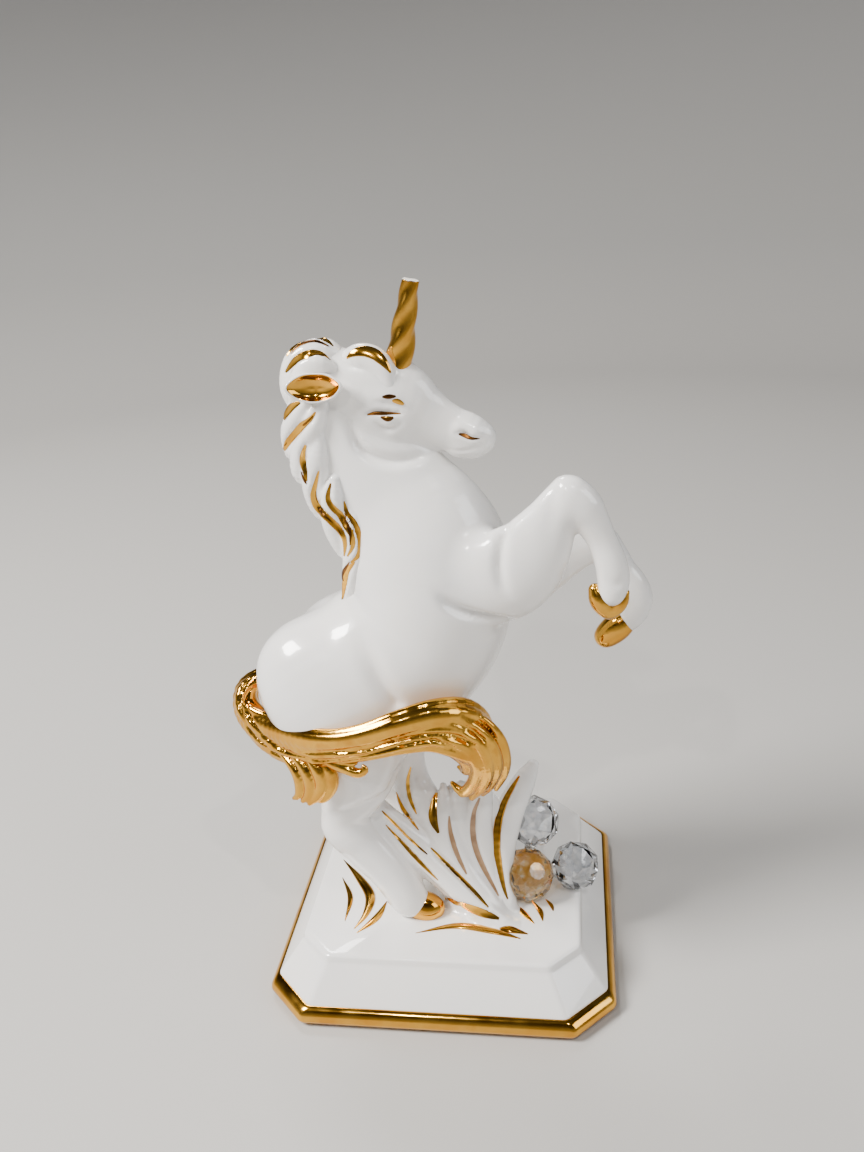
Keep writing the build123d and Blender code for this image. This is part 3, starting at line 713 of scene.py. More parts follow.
forelock = [
    (-14.2, -5, 157.2, 1.6), (-11.6, -6, 158, 3.1), (-8.4, -6.6, 157.6, 3.2),
    (-6, -7.6, 155.8, 2.5), (-4.9, -8.6, 153, 1.2),
]
lock_flatness = 0.8
far_lock_move = (0, 0.5, 1.5, 0)
hair_reach = 5.0
hair_gap = 0.2
lock_fillet = 0.8
mane_fillet = 0.9
mane_skirt = 1.2
forelock_skirt = 1.0


def even_run(rows, flatness):
    """A smooth run of stations through rows that are all equally flat."""
    return stations([(*row, flatness) for row in rows])


far_locks = [far_side(lock) - far_lock_move for lock in mane_locks[2:]]
mane_runs = [even_run(lock, lock_flatness) for lock in mane_locks + far_locks]
forelock_run = even_run(forelock, lock_flatness)


def mane_field(points):
    """How far points lie outside the mane, with its fillet to the head and neck."""
    out = joined_limbs(points, mane_runs, lock_fillet, hair_reach)
    under = [limb_field(points, run) for run in (neck_run, barrel_run, skull_run)]
    return with_skirt(out, np.minimum.reduce(under), mane_fillet, mane_skirt, hair_gap)


def forelock_field(points):
    """How far points lie outside the forelock, with its fillet to the forehead."""
    out = limb_field(points, forelock_run, hair_reach)
    under = limb_field(points, skull_run)
    return with_skirt(out, under, lock_fillet, forelock_skirt, hair_gap)


# Grooves of the hair are rows like the creases. The shadow lines, dark lines painted as shade over the
# gold in the grooves, have a half width alone.
mane_grooves_px = [
    [(286, 357, .3, .45), (297, 343, .8, .6), (312, 336.5, .9, .6), (326, 340, .7, .55),
     (334, 347, .2, .4)],
    [(285, 373, .3, .6), (297, 360, .8, .8), (312, 353.5, .9, .8), (324, 355, .6, .6),
     (331, 361, .2, .4)],
    [(281, 423, .3, .7), (286, 414, .8, .9), (294, 406, .8, .9), (301, 402, .3, .6)],
    [(283, 451, .3, .7), (290, 440, .9, .95), (301, 428, 1.0, .95), (311, 419, .8, .7),
     (316, 411, .2, .4)],
    [(306, 444, .2, .5), (303, 455, .9, .7), (304, 467, .9, .7), (307, 482, .3, .5)],
    [(319, 470, .2, .5), (315.5, 484, .8, .75), (314, 497, .9, .85), (320, 510, .9, .9),
     (331, 520, .9, .9), (341, 531, .8, .8), (345, 544, .7, .75), (344, 557, .3, .5)],
    [(331, 482, .2, .5), (328, 497, .8, .75), (332, 506, .9, .8), (341, 515, .9, .8),
     (346, 525, .8, .8), (352, 534, .8, .75), (353, 546, .7, .7), (347, 557, .3, .5)],
    [(344, 500, .2, .5), (347, 513, .8, .75), (353, 522, .9, .8), (358, 533, .9, .8),
     (360, 545, .8, .75), (358, 556, .5, .7), (350, 563, .2, .5)],
    [(355, 561, .2, .5), (347, 572, .8, .8), (344, 586, .8, .7), (342, 601, .2, .4)],
]
mane_shadows_px = [
    [(290, 355, .3), (300, 345, .45), (315, 341, .45), (330, 347, .3)],
    [(284, 446, .3), (293, 437, .5), (305, 425, .5), (314, 415, .3)],
    [(301, 470, .3), (303, 477, .5), (307, 485, .3)],
    [(316, 490, .3), (317, 503, .45), (325, 515, .45), (336, 524, .45), (342, 537, .3)],
    [(337, 510, .3), (345, 520, .45), (350, 531, .45), (350, 546, .3)],
    [(350, 561, .3), (343, 573, .5), (341, 586, .3)],
]
mane_box = ((-40, -20, 94), (-4, 12, 170))
forelock_box = ((-20, -16, 146), (0, 4, 168))
mane_step = 0.45
mane, mane_surface = modelled(
    "mane_locks", mane_field, mane_box, mane_step, glazed_porcelain, mane_grooves_px)
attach(mane, "root")
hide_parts(*["mane_lock_" + str(k + 1) for k in range(len(mane_locks))])

forelock_piece, forelock_surface = modelled(
    "forelock_roll", forelock_field, forelock_box, mane_step, glazed_porcelain)
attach(forelock_piece, "root")
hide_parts("forelock")


# The horn is a rod of three clay strands twisted about one turn, gilded all over. Its tip has
# broken off flat and shows the bare white body.
horn_seat = (-3.8, -4.0, 153.0)
horn_lean = math.radians(12.5)
horn_length = 21.1
horn_base = 3.35
horn_top = 1.8
horn_strands = 3
horn_turns = 0.95
horn_ridge = 0.08
horn_chip = 0.8
horn_break_share = 0.985


def group_inputs(tree, names):
    """Adds named inputs, and the geometry in and out, to a node tree."""
    for name, kind in [("Geometry", "Geometry"), *names]:
        tree.interface.new_socket(name, in_out="INPUT", socket_type="NodeSocket" + kind)
    tree.interface.new_socket("Geometry", in_out="OUTPUT", socket_type="NodeSocketGeometry")
    return tree.nodes.new("NodeGroupInput").outputs


def settle(piece, tree, values):
    """Runs a node tree on a piece and keeps the result as a plain mesh."""
    run = piece.modifiers.new(tree.name, "NODES")
    run.node_group = tree
    for item in tree.interface.items_tree:
        if item.in_out == "INPUT" and item.name in values:
            run[item.identifier] = values[item.name]
    bpy.context.view_layer.update()
    done = piece.evaluated_get(bpy.context.evaluated_depsgraph_get())
    piece.data = bpy.data.meshes.new_from_object(done)
    piece.modifiers.remove(run)


# Bare porcelain: the fired body where the glaze is gone. The eye gets a dry matt chalky white.
biscuit_porcelain, tree, shader, where = surface_material("bare biscuit porcelain")
grain = add(tree, "ShaderNodeTexNoise", {"Vector": where, "Scale": 1 / (0.5 * MM), "Detail": 4.0})
chalk = add(tree, "ShaderNodeValToRGB", {"Fac": grain}, [(0.35, "#D9D4CC"), (0.7, "#F3F0EA")])
pits = add(tree, "ShaderNodeBump", {"Height": grain, "Strength": 0.8, "Distance": 0.15 * MM})
feed(tree, shader, {"Base Color": chalk, "Normal": pits, "Roughness": 0.75})

horn_tree = bpy.data.node_groups.new("twisted horn", "GeometryNodeTree")
given = group_inputs(horn_tree, [
    ("Length", "Float"), ("Base Radius", "Float"), ("Top Radius", "Float"), ("Strands", "Float"),
    ("Turns", "Float"), ("Ridge", "Float"), ("Chip", "Float"), ("Break Share", "Float"),
    ("Gilding", "Material"), ("Break", "Material")])
rod = add(horn_tree, "GeometryNodeMeshCylinder", {
    "Vertices": 72, "Side Segments": 150, "Fill Segments": 5, "Radius": 1.0,
    "Depth": given["Length"]}, fill_type="TRIANGLE_FAN")
spot = add(horn_tree, "GeometryNodeInputPosition")
parts = add(horn_tree, "ShaderNodeSeparateXYZ", {"Vector": spot}).outputs
rough = add(horn_tree, "ShaderNodeTexNoise", {"Vector": spot, "Scale": 1.1, "Detail": 2.0})
# Sums of the twist, the taper and the chipped end: a name, what is done, and to which terms.
sums = {"x": parts["X"], "y": parts["Y"], "z": parts["Z"], "rough": rough}
for name, operation, *terms in [
    ("share", "DIVIDE", "z", given["Length"]),
    ("up", "ADD", "share", 0.5),
    ("around", "ARCTAN2", "y", "x"),
    ("turned", "MULTIPLY", "up", given["Turns"]),
    ("twist", "MULTIPLY", "turned", 2 * math.pi),
    ("untwisted", "SUBTRACT", "around", "twist"),
    ("strand angle", "MULTIPLY", "untwisted", given["Strands"]),
    ("wave", "COSINE", "strand angle"),
    ("ridge", "MULTIPLY", "wave", given["Ridge"]),
    ("bulge", "ADD", 1.0, "ridge"),
    ("narrowing", "SUBTRACT", given["Top Radius"], given["Base Radius"]),
    ("narrowed", "MULTIPLY", "up", "narrowing"),
    ("taper", "ADD", given["Base Radius"], "narrowed"),
    ("girth", "MULTIPLY", "bulge", "taper"),
    ("across", "MULTIPLY", "x", "girth"),
    ("deep", "MULTIPLY", "y", "girth"),
    ("uneven", "SUBTRACT", "rough", 0.5),
    ("at the break", "GREATER_THAN", "up", given["Break Share"]),
    ("chip here", "MULTIPLY", given["Chip"], "at the break"),
    ("chipped", "MULTIPLY", "uneven", "chip here"),
    ("height", "ADD", "z", "chipped"),
]:
    inputs = {k: sums.get(term, term) for k, term in enumerate(terms)}
    sums[name] = add(horn_tree, "ShaderNodeMath", inputs, operation=operation)
place = add(horn_tree, "ShaderNodeCombineXYZ", {
    "X": sums["across"], "Y": sums["deep"], "Z": sums["height"]})
shaped = add(horn_tree, "GeometryNodeSetPosition", {"Geometry": rod, "Position": place})
smooth = add(horn_tree, "GeometryNodeSetShadeSmooth", {
    "Geometry": shaped, "Selection": rod.outputs["Side"]})
solid = add(horn_tree, "GeometryNodeRealizeInstances", {"Geometry": smooth})
gilded = add(horn_tree, "GeometryNodeSetMaterial", {
    "Geometry": solid, "Material": given["Gilding"]})
broken = add(horn_tree, "GeometryNodeSetMaterial", {
    "Geometry": gilded, "Selection": rod.outputs["Top"], "Material": given["Break"]})
add(horn_tree, "NodeGroupOutput", {"Geometry": broken})

horn = placed("horn_rod", bpy.data.meshes.new("horn_rod"))
settle(horn, horn_tree, {
    "Length": horn_length * MM, "Base Radius": horn_base * MM, "Top Radius": horn_top * MM,
    "Strands": float(horn_strands), "Turns": horn_turns, "Ridge": horn_ridge,
    "Chip": horn_chip * MM, "Break Share": horn_break_share,
    "Gilding": gold_lustre, "Break": biscuit_porcelain})
stand = Matrix.Translation(Vector(horn_seat) * MM) @ Matrix.Rotation(horn_lean, 4, "Y")
horn.data.transform(stand @ Matrix.Translation((0, 0, horn_length / 2 * MM)))
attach(horn, "root")
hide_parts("horn")


# The tail is a heavy gilded sweep: it leaves the croup, turns forward round the near thigh and
# ends in curled strands over the grass. A broad roll has three finer strands below it, one above.
tail_line = [
    (-40, -4, 79, 2.4, .8), (-44.5, -4.5, 78.6, 3.2, .8), (-48.2, -6, 75.4, 4.4, .7),
    (-47.6, -9, 71, 5.6, .6), (-43.2, -13, 68.2, 6.2, .5), (-37, -17.5, 68, 6.2, .5),
    (-29, -23, 69.8, 5.4, .5), (-20.8, -26.5, 72.2, 4.4, .55), (-13, -27.5, 74.2, 4.6, .55),
    (-5, -27, 76.4, 5.4, .55), (2, -25, 76.8, 6.2, .55), (7.4, -22, 74.2, 7, .6),
    (10.8, -19, 69.2, 6.6, .6), (11.8, -16.8, 63.6, 4.6, .6), (11.4, -15.2, 59, 2.6, .6),
]
tail_tips = [
    [(8.6, -20, 77.8, .3), (13.4, -20, 76, .8), (16.7, -19.2, 70.7, 1.3),
     (17.7, -17.6, 64.1, 1.5), (16.9, -15.8, 58.1, 1.3), (14.9, -14.2, 52.5, .6)],
    [(5.5, -22.5, 77.2, .3), (11.1, -22.2, 75.6, .9), (14.7, -21.2, 70.4, 1.5),
     (15.7, -19.3, 63.4, 1.7), (14, -16.8, 56.4, 1.5), (11.6, -14.8, 51.4, .7)],
    [(.9, -24, 75.4, .3), (7.8, -24.2, 75.3, .9), (12.5, -22.5, 70.3, 1.6),
     (13.7, -20.4, 63.5, 1.8), (12.1, -17.4, 56.2, 1.7), (8.9, -15, 50.5, .9)],
    [(-5.6, -25.5, 73.4, .3), (3.3, -25.8, 74.3, .9), (9, -23.6, 70.5, 1.5),
     (11.3, -21, 64.1, 1.8), (9.9, -17.8, 57, 1.8), (6.8, -15.6, 52.4, 1.4), (4.1, -14.6, 54.3, .6)],
    [(-7.9, -25, 70.8, .3), (-.2, -25.4, 72.3, .8), (4.9, -23.9, 70, 1.2),
     (8.2, -21.4, 65.7, 1.5), (8.3, -18.8, 61.1, 1.3), (6.4, -17.4, 61, .5)],
]
side_lock_strands = [
    [(-40.7, -15.5, 65.9, .4), (-35.6, -20, 64.6, 1.1), (-32.5, -22.4, 62.3, 1.6),
     (-31.7, -23.2, 59.1, 1.6), (-32.4, -23.6, 56.2, 1.1), (-33.8, -23.6, 55.2, .5)],
    [(-37.4, -18, 66.5, .4), (-32.4, -22, 66, 1.2), (-29.7, -23.8, 63.6, 1.7),
     (-28.7, -24.4, 60.3, 1.8), (-29.6, -24.6, 57, 1.3), (-31.3, -24.6, 55.2, .6)],
    [(-33.9, -20.5, 67, .4), (-29, -23.2, 66.6, 1.2), (-26.5, -24.8, 64.4, 1.7),
     (-25.8, -25, 60.8, 1.8), (-27.2, -25, 57.3, 1.4), (-29.5, -25, 54.9, .7)],
    [(-30.7, -21.5, 66.9, .4), (-26.1, -23.4, 66.6, 1.1), (-23.8, -24.6, 64.3, 1.6),
     (-23.4, -24.6, 60.9, 1.7), (-24.5, -24.6, 57.7, 1.3), (-26.5, -24.6, 55.6, .9),
     (-27.6, -25.4, 57, .4)],
    [(-31, -20.5, 66, 2.4), (-29.2, -22, 62.5, 2.6), (-28.4, -23, 58.5, 1.8)],
]
curl_strands = [
    [(-27.9, -23.5, 67.2, .4), (-23.1, -25.6, 67, 1.1), (-19, -27, 66.4, 1.3),
     (-16, -27.6, 65.7, 1.2), (-14.2, -27.8, 66.8, .9), (-14.6, -27.8, 68, .4)],
    [(-25.5, -24.5, 69, .3), (-21.1, -26, 68.4, 1), (-17.9, -26.8, 67.9, .9), (-16.2, -27, 68.1, .4)],
]
# Strands of the sweep: how far up the band, how far out of it and how thick, all as shares of its
# radius, at three places along it.
tail_place_shares = (0.15, 0.5, 0.95)
tail_strand_shares = [
    ((0.40, 0.00, 0.56), (0.38, 0.00, 0.56), (0.55, 0.00, 0.42)),
    ((-0.24, 0.28, 0.20), (-0.30, 0.30, 0.20), (0.10, 0.20, 0.26)),
    ((-0.55, 0.22, 0.19), (-0.61, 0.22, 0.19), (-0.28, 0.22, 0.24)),
    ((-0.84, 0.02, 0.18), (-0.90, 0.04, 0.18), (-0.62, 0.12, 0.22)),
    ((0.86, 0.10, 0.20), (0.80, -0.08, 0.24), (0.92, -0.12, 0.24)),
]
thigh_centre = (-20, 2, 70)
tip_flatness = 0.95
strand_fillet = 0.3
strand_flatness_share = 1.5
core_radius_share = 0.68
core_flatness_share = 0.8
outward_shares = (1, 1, 0.2)


def strand_runs(line, centre):
    """Stations of the strands that make up a sweep round a centre."""
    core = stations(line)
    t = np.linspace(0, 1, len(core))
    outward = (core[:, :3] - centre) * outward_shares
    outward /= np.linalg.norm(outward, axis=1, keepdims=True)
    ahead = np.gradient(core[:, :3], axis=0)
    ahead /= np.linalg.norm(ahead, axis=1, keepdims=True)
    side = outward - (outward * ahead).sum(1)[:, None] * ahead
    side /= np.linalg.norm(side, axis=1, keepdims=True)
    above = np.cross(side, ahead)
    runs = []
    for shares in tail_strand_shares:
        up, out, thick = (np.interp(t, tail_place_shares, row) for row in zip(*shares))
        centres = core[:, :3] + core[:, 3:4] * (up[:, None] * above + out[:, None] * side)
        flat = np.clip(core[:, 4] * strand_flatness_share, 0, 1)
        runs.append(np.column_stack([centres, core[:, 3] * thick, flat]))
    return runs


core_shares = (1, 1, 1, core_radius_share, core_flatness_share)
tail_runs = [stations(np.array(tail_line) * core_shares)]
tail_runs += strand_runs(tail_line, thigh_centre)
tail_runs += [even_run(tip, tip_flatness) for tip in tail_tips]


def tail_field(points):
    """How far points lie outside the tail."""
    return joined_limbs(points, tail_runs, strand_fillet, hair_reach)


# Grooves between the strands, rows like the creases.
tail_grooves_px = [
    [(260, 673, .2, .5), (246, 684, .9, .55), (239, 699, 1.0, .6), (241.5, 715, 1.0, .6),
     (250, 732, 1.0, .6), (266, 748, .9, .55), (288, 760, .7, .5), (314, 765, .3, .5)],
    [(254, 686, .2, .5), (246, 697, .9, .5), (247, 712.5, 1.0, .55), (257, 730, 1.0, .55),
     (272, 743.5, .9, .55), (292, 754.5, .8, .55), (321, 761, .7, .5), (347, 759, .5, .5)],
    [(338, 752.5, .3, .5), (365, 751, .9, .5), (391, 742.5, 1.0, .55), (413, 737, 1.0, .55),
     (435, 735, 1.0, .55), (457, 737, 1.0, .55), (475, 746, .8, .5)],
    [(349, 760, .3, .45), (380, 752.5, .9, .45), (413, 743, .9, .45), (435, 741, .9, .45),
     (453, 748, .8, .45)],
    [(452, 722, .2, .5), (470, 729, .7, .5), (484, 740, .6, .5)],
    [(463, 715, .2, .5), (482, 723, .6, .5), (494, 736, .5, .5)],
]
tail_box = ((-62, -42, 44), (28, 12, 96))
tail_step = 0.42
tail, _ = modelled("tail_sweep", tail_field, tail_box, tail_step, gold_lustre, tail_grooves_px)
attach(tail, "root")
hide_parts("tail")


def box_round(rows, margin):
    """The box round the places in rows, with a margin."""
    places = np.vstack(rows)[:, :3]
    return places.min(0) - margin, places.max(0) + margin


lock_reach = 4.0
lock_margin = 5
for name, strands in (("tail_side_lock", side_lock_strands), ("tail_curl", curl_strands)):
    lock_runs = [even_run(strand, tip_flatness) for strand in strands]

    def lock_field(points):
        """How far points lie outside this lock."""
        return joined_limbs(points, lock_runs, strand_fillet, lock_reach)

    lock, _ = modelled(
        name + "_strands", lock_field, box_round(strands, lock_margin), mane_step, gold_lustre)
    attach(lock, "root")
    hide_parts(name)


# The hooves are the ends of the leg castings, gilded over the glaze. The fore hooves hang, the
# hind ones stand on the plinth.
hind_hoof = [(-6, -17, 17.6, 3.9), (-4.2, -17, 17, 3.9), (-2.7, -17, 16.8, 3.1)]
hoof_lobes = {
    "fore_hoof_near": [
        [(38.9, -14.6, 106.6, 1.5), (40, -14.9, 104.2, 2.4), (41.3, -14.8, 101.9, 2),
         (42, -14.6, 100.4, 1)],
        [(45.4, -14.6, 105.8, 1.1), (44.4, -14.9, 103.7, 1.8), (43.1, -14.8, 101.7, 1.6),
         (42.2, -14.6, 100.4, 1)]],
    "fore_hoof_far": [
        [(47, 6.8, 88.8, 2.8), (44.8, 6.8, 86.8, 3.6), (42.3, 6.8, 84.4, 3.1),
         (41.2, 6.8, 83.4, 1.6)]],
    "hind_hoof_near": [hind_hoof],
    "hind_hoof_far": [far_side(hind_hoof, far_hind_shift)],
}
hoof_flatness = 0.95
hoof_sink = 0.3
hoof_margin = 8
for name, lobes in hoof_lobes.items():
    lobe_runs = [even_run(lobe, hoof_flatness) for lobe in lobes]

    def hoof_field(points):
        """How far points lie outside this hoof, cut level just under the plinth's top."""
        out = joined_limbs(points, lobe_runs, strand_fillet)
        return np.maximum(out, plinth_top - hoof_sink - points[:, 2])

    hoof, _ = modelled(
        name + "_gilded", hoof_field, box_round(lobes, hoof_margin), mane_step, gold_lustre)
    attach(hoof, "root")
    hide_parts(name)


# A stalk behind the near leg carries the horse's belly, and the grass is modelled on it: a fan of
# broad blades with a tall leaf at its right. Slip fills its foot on the plinth.
column = [
    (-8.2, -1, 66, 4.3, .8), (-8.7, -2, 58, 4.3, .8), (-8.7, -3.5, 50, 4.7, .8),
    (-6.4, -5, 42, 5.8, .8), (-1, -6, 32, 7, .8), (4.5, -8, 22, 6.5, .8), (7.5, -9, 14.5, 5, .8),
]
web = [(-18.4, -10.6, 45.5, 3.2, .8), (-14.4, -11.2, 39.4, 4.4, .75), (-5.4, -12, 31.2, 4.6, .7),
       (2.8, -13.5, 21.1, 4, .7), (7, -14.5, 15, 3, .8)]
fan = [
    (15.5, -12.5, 13.4, 4, .6), (13, -10.5, 18, 5.5, .5), (9.4, -7.8, 25.6, 8.2, .36),
    (7.6, -5.6, 31.5, 9.6, .30), (6.6, -4.4, 36, 9.8, .28), (6.2, -3.8, 38.4, 8.8, .28),
]
blades = [
    [(-16.6, -13, 43, 1), (-10.2, -13.2, 36.2, 2), (-2.9, -14.5, 29.2, 2.8), (5, -16.5, 22.2, 3.2),
     (12, -18.5, 17, 2.9), (16.5, -20, 13.6, 2.2)],
    [(-6.2, -7, 49, .8), (-4, -8, 42, 2.4), (-.6, -10, 34.5, 3.4), (4.8, -12.5, 25.4, 3.9),
     (11, -15.5, 18, 3.6), (14, -17, 14, 3)],
    [(.3, -5, 46.6, .9), (.4, -7, 42.2, 2.5), (1.4, -10, 34.8, 3.3), (6, -13, 25.2, 3.6),
     (12.4, -15.5, 17.8, 3.3), (15, -17, 13.6, 2.8)],
    [(5, -5.5, 47.4, 1.2), (4.8, -6.2, 43, 2.9), (5, -7.5, 36.4, 3.7), (8, -10.5, 25.8, 3.7),
     (13.2, -13.6, 17.8, 3.3), (15.4, -15, 13.6, 2.8)],
    [(12, -8, 51, 1.2), (10.6, -8, 45.6, 2.8), (9.6, -8.5, 35.8, 3.4), (11, -10.5, 26, 3.4),
     (14.4, -13.4, 17.6, 3), (16, -14.8, 13.6, 2.5)],
]
tall_leaf = [
    (23.3, .6, 49.6, 1.7, .7), (20.8, -1, 45.4, 3.1, .65), (17.2, -4.2, 38.6, 3.9, .6),
    (15, -8, 31.6, 4, .6), (14.6, -11, 24.6, 3.6, .65), (16, -14.2, 17.4, 3, .75),
    (17.4, -15.4, 13.6, 2.4, .8),
]
blade_flatness = 0.9
blade_fillet = 0.9
grass_fillet = 3.4
grass_skirt = 3.0
leaf_fillet = 2.0
leaf_skirt = 2.0
grass_runs = [stations(column), stations(fan), stations(web)]
grass_runs += [even_run(blade, blade_flatness) for blade in blades]
leaf_run = stations(tall_leaf)


def grass_field(points):
    """How far points lie outside the grass, with its fillets to the plinth and the near leg."""
    out = joined_limbs(points, grass_runs, blade_fillet, hair_reach)
    under = [limb_field(points, run, hair_reach) for run in (thigh_run, cannon_run)]
    under.append(points[:, 2] - plinth_top)
    return with_skirt(out, np.minimum.reduce(under), grass_fillet, grass_skirt)


def leaf_field(points):
    """How far points lie outside the tall leaf, with its fillet to the plinth."""
    out = limb_field(points, leaf_run, hair_reach)
    return with_skirt(out, points[:, 2] - plinth_top, leaf_fillet, leaf_skirt)


# Grooves down the blades, rows like the creases. The last two are washed with tan lustre.
washed_grooves = 2
grass_grooves_px = [
    [(381, 810, .2, .4), (393, 822, .8, .5), (410, 839, .9, .5), (428, 855, .3, .4)],
    [(385, 824, .2, .35), (400, 840, .8, .45), (420, 862, .9, .45), (439, 881, .3, .35)],
    [(430, 847, .2, .5), (446, 863, .9, .65), (466, 883, .9, .65), (489, 908, .4, .6)],
    [(396, 791, .2, .35), (402, 807, .8, .5), (411, 820, .8, .45), (419, 831, .2, .35)],
    [(411, 766, .2, .4), (408, 781, .9, .6), (410.5, 799, .9, .55), (417, 815, .3, .4)],
    [(437, 792, .3, 1.0), (433, 806, .8, 1.2), (434, 821, .8, 1.1), (439, 834, .2, .7)],
    [(443, 896, .2, .6), (458, 903, .5, 1.0), (478, 911, .5, 1.1), (500, 919, .3, .9)],
    [(449, 815, .2, .5), (450, 832, .8, .7), (456, 852, .8, .7), (467, 875, .3, .5)],
    [(480, 797, .3, .7), (474, 815, .9, .85), (474.5, 840, .9, .85), (483, 866, .8, .8),
     (499, 897, .4, .6)],
]
leaf_grooves_px = [
    [(520, 775, .2, .7), (513, 787, .8, .95), (504.5, 804, 1.0, 1.05), (499, 824, 1.0, 1.1),
     (497.5, 846, 1.0, 1.05), (500, 868, .9, .95), (504, 888, .6, .8), (508, 900, .2, .6)],
]
grass_box = ((-26, -34, 8), (34, 14, 76))
leaf_box = ((4, -26, 8), (34, 10, 60))
grass_step = 0.5
grass, grass_surface = modelled(
    "grass_and_support", grass_field, grass_box, grass_step, glazed_porcelain, grass_grooves_px)
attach(grass, "root")
blade_names = ["grass_blade_" + str(k + 1) for k in range(len(blades))]
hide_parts("grass_column", "grass_fan", *blade_names)

leaf, leaf_surface = modelled(
    "grass_tall_leaf", leaf_field, leaf_box, grass_step, glazed_porcelain, leaf_grooves_px)
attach(leaf, "root")
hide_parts("grass_leaf_tall")


# Gilding laid with a brush in the grooves. A stroke is a thin film of lustre on the glaze that
# follows the groove and comes to a point at both ends.
stroke_spacing = 0.3
stroke_flatness = 0.07
stroke_lift = 0.07
shadow_lift = 0.14
groove_fill = 1.25
stroke_end_share = 0.02
stroke_fullness = 0.45
lens_share = 0.02

stroke_tree = bpy.data.node_groups.new("brushed stroke", "GeometryNodeTree")
given = group_inputs(stroke_tree, [
    ("Surface", "Object"), ("Spacing", "Float"), ("Flatness", "Float"), ("Lift", "Float"),
    ("Gilding", "Material")])
ground = add(stroke_tree, "GeometryNodeObjectInfo", {"Object": given["Surface"]}).outputs["Geometry"]
line = add(stroke_tree, "GeometryNodeMeshToCurve", {"Mesh": given["Geometry"]})
even = add(stroke_tree, "GeometryNodeResampleCurve", {
    "Curve": line, "Length": given["Spacing"]}, mode="LENGTH")
spot = add(stroke_tree, "GeometryNodeInputPosition")
faced = add(stroke_tree, "GeometryNodeInputNormal")
foot = add(stroke_tree, "GeometryNodeSampleNearestSurface", {
    "Mesh": ground, "Value": spot}, data_type="FLOAT_VECTOR")
upward = add(stroke_tree, "GeometryNodeSampleNearestSurface", {
    "Mesh": ground, "Value": faced}, data_type="FLOAT_VECTOR")
lift = add(stroke_tree, "ShaderNodeVectorMath", {
    0: upward, "Scale": given["Lift"]}, operation="SCALE")
laid = add(stroke_tree, "GeometryNodeSetPosition", {
    "Geometry": even, "Position": foot, "Offset": lift})
turned = add(stroke_tree, "GeometryNodeSetCurveNormal", {
    "Curve": laid, "Normal": upward}, mode="FREE")
# The brush's section is a thin lens. Each point of it keeps its height, to swell the film there.
bristle = add(stroke_tree, "GeometryNodeCurvePrimitiveCircle", {"Resolution": 24, "Radius": 1.0})
round_height = add(stroke_tree, "ShaderNodeSeparateXYZ", {"Vector": spot}).outputs["X"]
marked = add(stroke_tree, "GeometryNodeStoreNamedAttribute", {
    "Geometry": bristle, "Name": "rise", "Value": round_height}, data_type="FLOAT")
lens = add(stroke_tree, "GeometryNodeTransform", {
    "Geometry": marked, "Scale": (lens_share, 1.0, 1.0)})
half_width = add(stroke_tree, "GeometryNodeInputNamedAttribute", {
    "Name": "half_width"}, data_type="FLOAT")
sweep = add(stroke_tree, "GeometryNodeCurveToMesh", {
    "Curve": turned, "Profile Curve": lens, "Scale": half_width, "Fill Caps": True})
rise = add(stroke_tree, "GeometryNodeInputNamedAttribute", {"Name": "rise"}, data_type="FLOAT")
body_height = add(stroke_tree, "ShaderNodeMath", {0: rise, 1: half_width}, operation="MULTIPLY")
swell_height = add(stroke_tree, "ShaderNodeMath", {
    0: body_height, 1: given["Flatness"], 2: given["Lift"]}, operation="MULTIPLY_ADD")
swelling = add(stroke_tree, "ShaderNodeVectorMath", {
    0: upward, "Scale": swell_height}, operation="SCALE")
evened = add(stroke_tree, "GeometryNodeBlurAttribute", {
    "Value": foot, "Iterations": 5}, data_type="FLOAT_VECTOR")
fitted = add(stroke_tree, "GeometryNodeSetPosition", {
    "Geometry": sweep, "Position": evened, "Offset": swelling})
smooth = add(stroke_tree, "GeometryNodeSetShadeSmooth", {"Geometry": fitted})
solid = add(stroke_tree, "GeometryNodeRealizeInstances", {"Geometry": smooth})
gilded = add(stroke_tree, "GeometryNodeSetMaterial", {
    "Geometry": solid, "Material": given["Gilding"]})
add(stroke_tree, "NodeGroupOutput", {"Geometry": gilded})


# The lustre fires brown where the brush left it thin, as in the face's lines; in the mane the same bronze
# is painted shade in the grooves. The eye gets a dull bronze line.
brown_lustre_and_painted_shade, tree, shader, where = surface_material("thin brown lustre")
tone = add(tree, "ShaderNodeTexNoise", {"Vector": where, "Scale": 1 / (3 * MM), "Detail": 2.0})
bronze = add(tree, "ShaderNodeValToRGB", {"Fac": tone}, [(0.35, "#4C2E16"), (0.65, "#7F5324")])
feed(tree, shader, {"Base Color": bronze, "Metallic": 1.0, "Roughness": 0.3})


# Where the lustre was thinned to a wash the glaze shows through. The eye gets a soft glossy tan.
lustre_wash, tree, shader, where = surface_material("washed tan lustre")
tone = add(tree, "ShaderNodeTexNoise", {"Vector": where, "Scale": 1 / (4 * MM), "Detail": 2.0})
tan = add(tree, "ShaderNodeValToRGB", {"Fac": tone}, [(0.3, "#8E6A48"), (0.7, "#C09A74")])
feed(tree, shader, {"Base Color": tan, "Metallic": 0.35, "Roughness": 0.35, "Coat Weight": 1.0})


